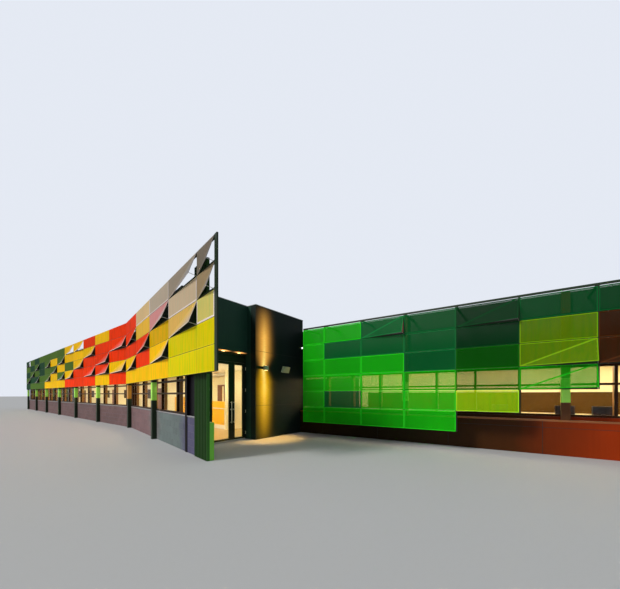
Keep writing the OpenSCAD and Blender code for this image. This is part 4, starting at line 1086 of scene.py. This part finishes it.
warm_spots(soffit_lining, (3.2, 1.35, 0.30), [(x, y, SOFFIT_Z) for x, y in DOWNLIGHTS], SPOT_REACH)


def rounds(name, material, places, body="building"):
    """One piece of separate cylinders, each given as its foot, its direction, its length and its radius."""
    bm = bmesh.new()
    for foot, direction, length, radius in places:
        turn = Vector((0, 0, 1)).rotation_difference(Vector(direction)).to_matrix().to_4x4()
        bmesh.ops.create_cone(bm, cap_ends=True, segments=20, radius1=radius, radius2=radius, depth=length,
                              matrix=Matrix.Translation(foot) @ turn @ Matrix.Translation((0, 0, length / 2)))
    made(name, bm, [material], body)


warm_lens = glow("warm_lens", (1.0, 0.62, 0.22), 6.0)
rounds("soffit_lights", warm_lens, [
    ((x, y, SOFFIT_Z - LENS_T), (0, 0, 1), LENS_T, DOWNLIGHT_R) for x, y in DOWNLIGHTS])
for name, leaf, y in HINGE_YS:
    rounds(name, pull_steel, [
        ((HINGE_X, y, z - HINGE_DROP), (0, 0, 1), HINGE_L, HINGE_R) for z in HINGE_ZS], leaf)
for name, leaf, y in LOCK_YS:
    rounds(name, pull_steel, [((LOCK_X, y, LOCK_Z), (1, 0, 0), LOCK_T, LOCK_R)], leaf)

# Lit face. Flat dark metal panels with open joints. An up and down light in a pale cast case, a flood light
# on a bracket and a small round light are screwed to them, and the first one washes the panels with amber.
WASH_Y = 0.225
WASH_Z = 1.320
WASH_SPREAD = 0.25
WASH_TOP = 2.480
WASH_FADE_TOP = 0.580
WASH_FADE_LOW = 0.960
WASH_FOOT = -0.11
WASH_SHIFT = 0.025
WASH_W = 0.082
WASH_GROWS = 0.063
CORE_W = 0.045
CORE_FALL = -2.5
FACE_X = -0.002
WAVES = (1.0, 2.0, 22.0)
AMBER_BELOW = (0.98, 0.50, 0.006)
AMBER_ABOVE = (0.90, 0.42, 0.060)
AMBER_CORE = (1.0, 0.80, 0.20)
SHADE_PLATE = ((0.0, 0.022, 1.294), (0.008, 0.200, 1.346))
LENS_Y = (0.215, 0.275)
LENS_X = (0.008, 0.040)
LENS_APART = 0.0425
SMALL_LIGHT = (0.044, BLOCK_W - 0.080, 1.837)
SMALL_LIGHT_R = 0.016
FACE_JOINTS = (0.62, 1.62)
FACE_JOINT_H = 0.0025
JOINT_T = 0.0012
POOL_POWER = 80.0
POOL_PLACE = (0.10, 0.24, 1.20)
POOL_SPREAD = math.radians(70)
light_casing = paint("light_casing", (0.30, 0.40, 0.27), 0.4, gloss=0.3)
shade_plate_paint = paint("shade_plate_paint", (0.012, 0.014, 0.010), 0.4, gloss=0.3)
lit_wall = paint("lit_face_cladding", (0.007, 0.017, 0.014), 0.5, patches=0.3, streaks=0.3, gloss=0.12)
finish(light_casing, "wall_lights")
finish(lit_wall, "hall_side_wall")


def bell(maths, distance, width):
    """A light that falls off from a middle line as a bell curve does."""
    return maths("EXPONENT", maths("MULTIPLY", maths("POWER", maths("DIVIDE", distance, width), 2.0), -1.0))


def light_wash(material):
    """Amber light on the panels over and under the lamp, which widens and fades away from it."""
    tree = material.node_tree
    maths, place = group_maths(tree), own_place(tree)
    z = place["Z"]
    away = maths("ABSOLUTE", maths("SUBTRACT", z, WASH_Z))
    spread = maths("DIVIDE", away, WASH_SPREAD, clamp=True)
    middle = maths("MULTIPLY_ADD", spread, WASH_SHIFT, WASH_Y - WASH_SHIFT)
    side = maths("ABSOLUTE", maths("SUBTRACT", place["Y"], middle))
    width = maths("MULTIPLY_ADD", spread, WASH_GROWS, WASH_W)
    fade_top = maths("DIVIDE", maths("SUBTRACT", WASH_TOP, z), WASH_FADE_TOP, clamp=True)
    fade_low = maths("DIVIDE", maths("SUBTRACT", z, WASH_FOOT), WASH_FADE_LOW, clamp=True)
    light = maths("MULTIPLY", bell(maths, side, width), maths("MULTIPLY", fade_top, fade_low))
    light = maths("MULTIPLY", light, maths("GREATER_THAN", place["X"], FACE_X))
    light = maths("MULTIPLY", light, maths("MULTIPLY_ADD", noise(tree, stretch=WAVES), 0.5, 0.75))
    core = maths("MULTIPLY", bell(maths, side, CORE_W), maths("EXPONENT", maths("MULTIPLY", away, CORE_FALL)))
    colour = mixed(tree, maths("GREATER_THAN", z, WASH_Z), AMBER_BELOW, AMBER_ABOVE)
    shine(material, mixed(tree, core, colour, AMBER_CORE), light)


light_wash(lit_wall)
# A dark plate from the corner to the lamp stands for the unlit band between its up and down washes: painted
# shade.
boxes("up_and_down_light_plate", shade_plate_paint, [(PLAN, *SHADE_PLATE)])
joint_dark = paint("joint_dark", (0.002, 0.004, 0.003), 0.6)
boxes("lit_face_joints", joint_dark, [
    (PLAN, (0.0, 0.0, z - FACE_JOINT_H), (JOINT_T, BLOCK_W, z + FACE_JOINT_H)) for z in FACE_JOINTS])
white_lens = glow("white_lens", (0.9, 0.95, 1.0), 4.0)
rounds("small_wall_light_lens", white_lens, [(SMALL_LIGHT, (1, 0, 0), LENS_T, SMALL_LIGHT_R)])
boxes("up_and_down_lenses", warm_lens, [
    (PLAN, (LENS_X[0], LENS_Y[0], z - LENS_T / 2), (LENS_X[1], LENS_Y[1], z + LENS_T / 2))
    for z in (WASH_Z - LENS_APART, WASH_Z + LENS_APART)])
pool = lamp("ground_pool", "SPOT", POOL_POWER, (1.0, 0.55, 0.12), POOL_PLACE)
pool.data.spot_size = POOL_SPREAD
pool.data.spot_blend = 0.8

# Right wing's base. Large dark flat panels with painted orange lamp light, warmer and brighter towards the
# end, a ledge under the windows, narrow upright joints and one along the panels' upper edge.
LEDGE_Z = 0.475
LEDGE_T = 0.003
LEDGE_NOSE = 0.006
LEDGE_LIP = 0.020
BASE_Y = BLOCK_W - 0.090
BASE_JOINT_W = 0.006
BASE_JOINTS = [0.578 + 1.2 * k for k in range(6)]
EDGE_JOINT_Z = (0.368, 0.373)
base_paint_and_lamp_light = paint("base_panels", (0.078, 0.020, 0.002), 0.4, patch=1.2, patches=0.5, streaks=0.2, gloss=0.12)
ledge_brown = paint("base_ledge", (0.26, 0.085, 0.020), 0.4, patches=0.2)
# Painted orange lamp light, warmer and brighter towards the end, set against colours measured in the
# photograph
along_x(base_paint_and_lamp_light, 2.0, 6.0, (
    (2.4, (0.022, 0.012, 0.001)), (3.9, (0.050, 0.013, 0.001)), (5.5, (0.42, 0.036, 0.001))), wander=0.3)
finish(base_paint_and_lamp_light, "right_base_wall")
boxes("base_ledge", ledge_brown, [
    (PLAN, (0.0, BASE_Y - LEDGE_NOSE, LEDGE_Z), (RIGHT_LEN, BLOCK_W, LEDGE_Z + LEDGE_T)),
    (PLAN, (0.0, BASE_Y - LEDGE_NOSE, LEDGE_Z - LEDGE_LIP), (RIGHT_LEN, BASE_Y, LEDGE_Z))])
base_joints = [(x - BASE_JOINT_W / 2, 0.0, x + BASE_JOINT_W / 2, LEDGE_Z - LEDGE_LIP) for x in BASE_JOINTS]
base_joints.append((0.0, EDGE_JOINT_Z[0], RIGHT_LEN, EDGE_JOINT_Z[1]))
boxes("base_joints", joint_dark, [
    (PLAN, (a, BASE_Y - JOINT_T, low), (b, BASE_Y, high)) for a, low, b, high in base_joints])
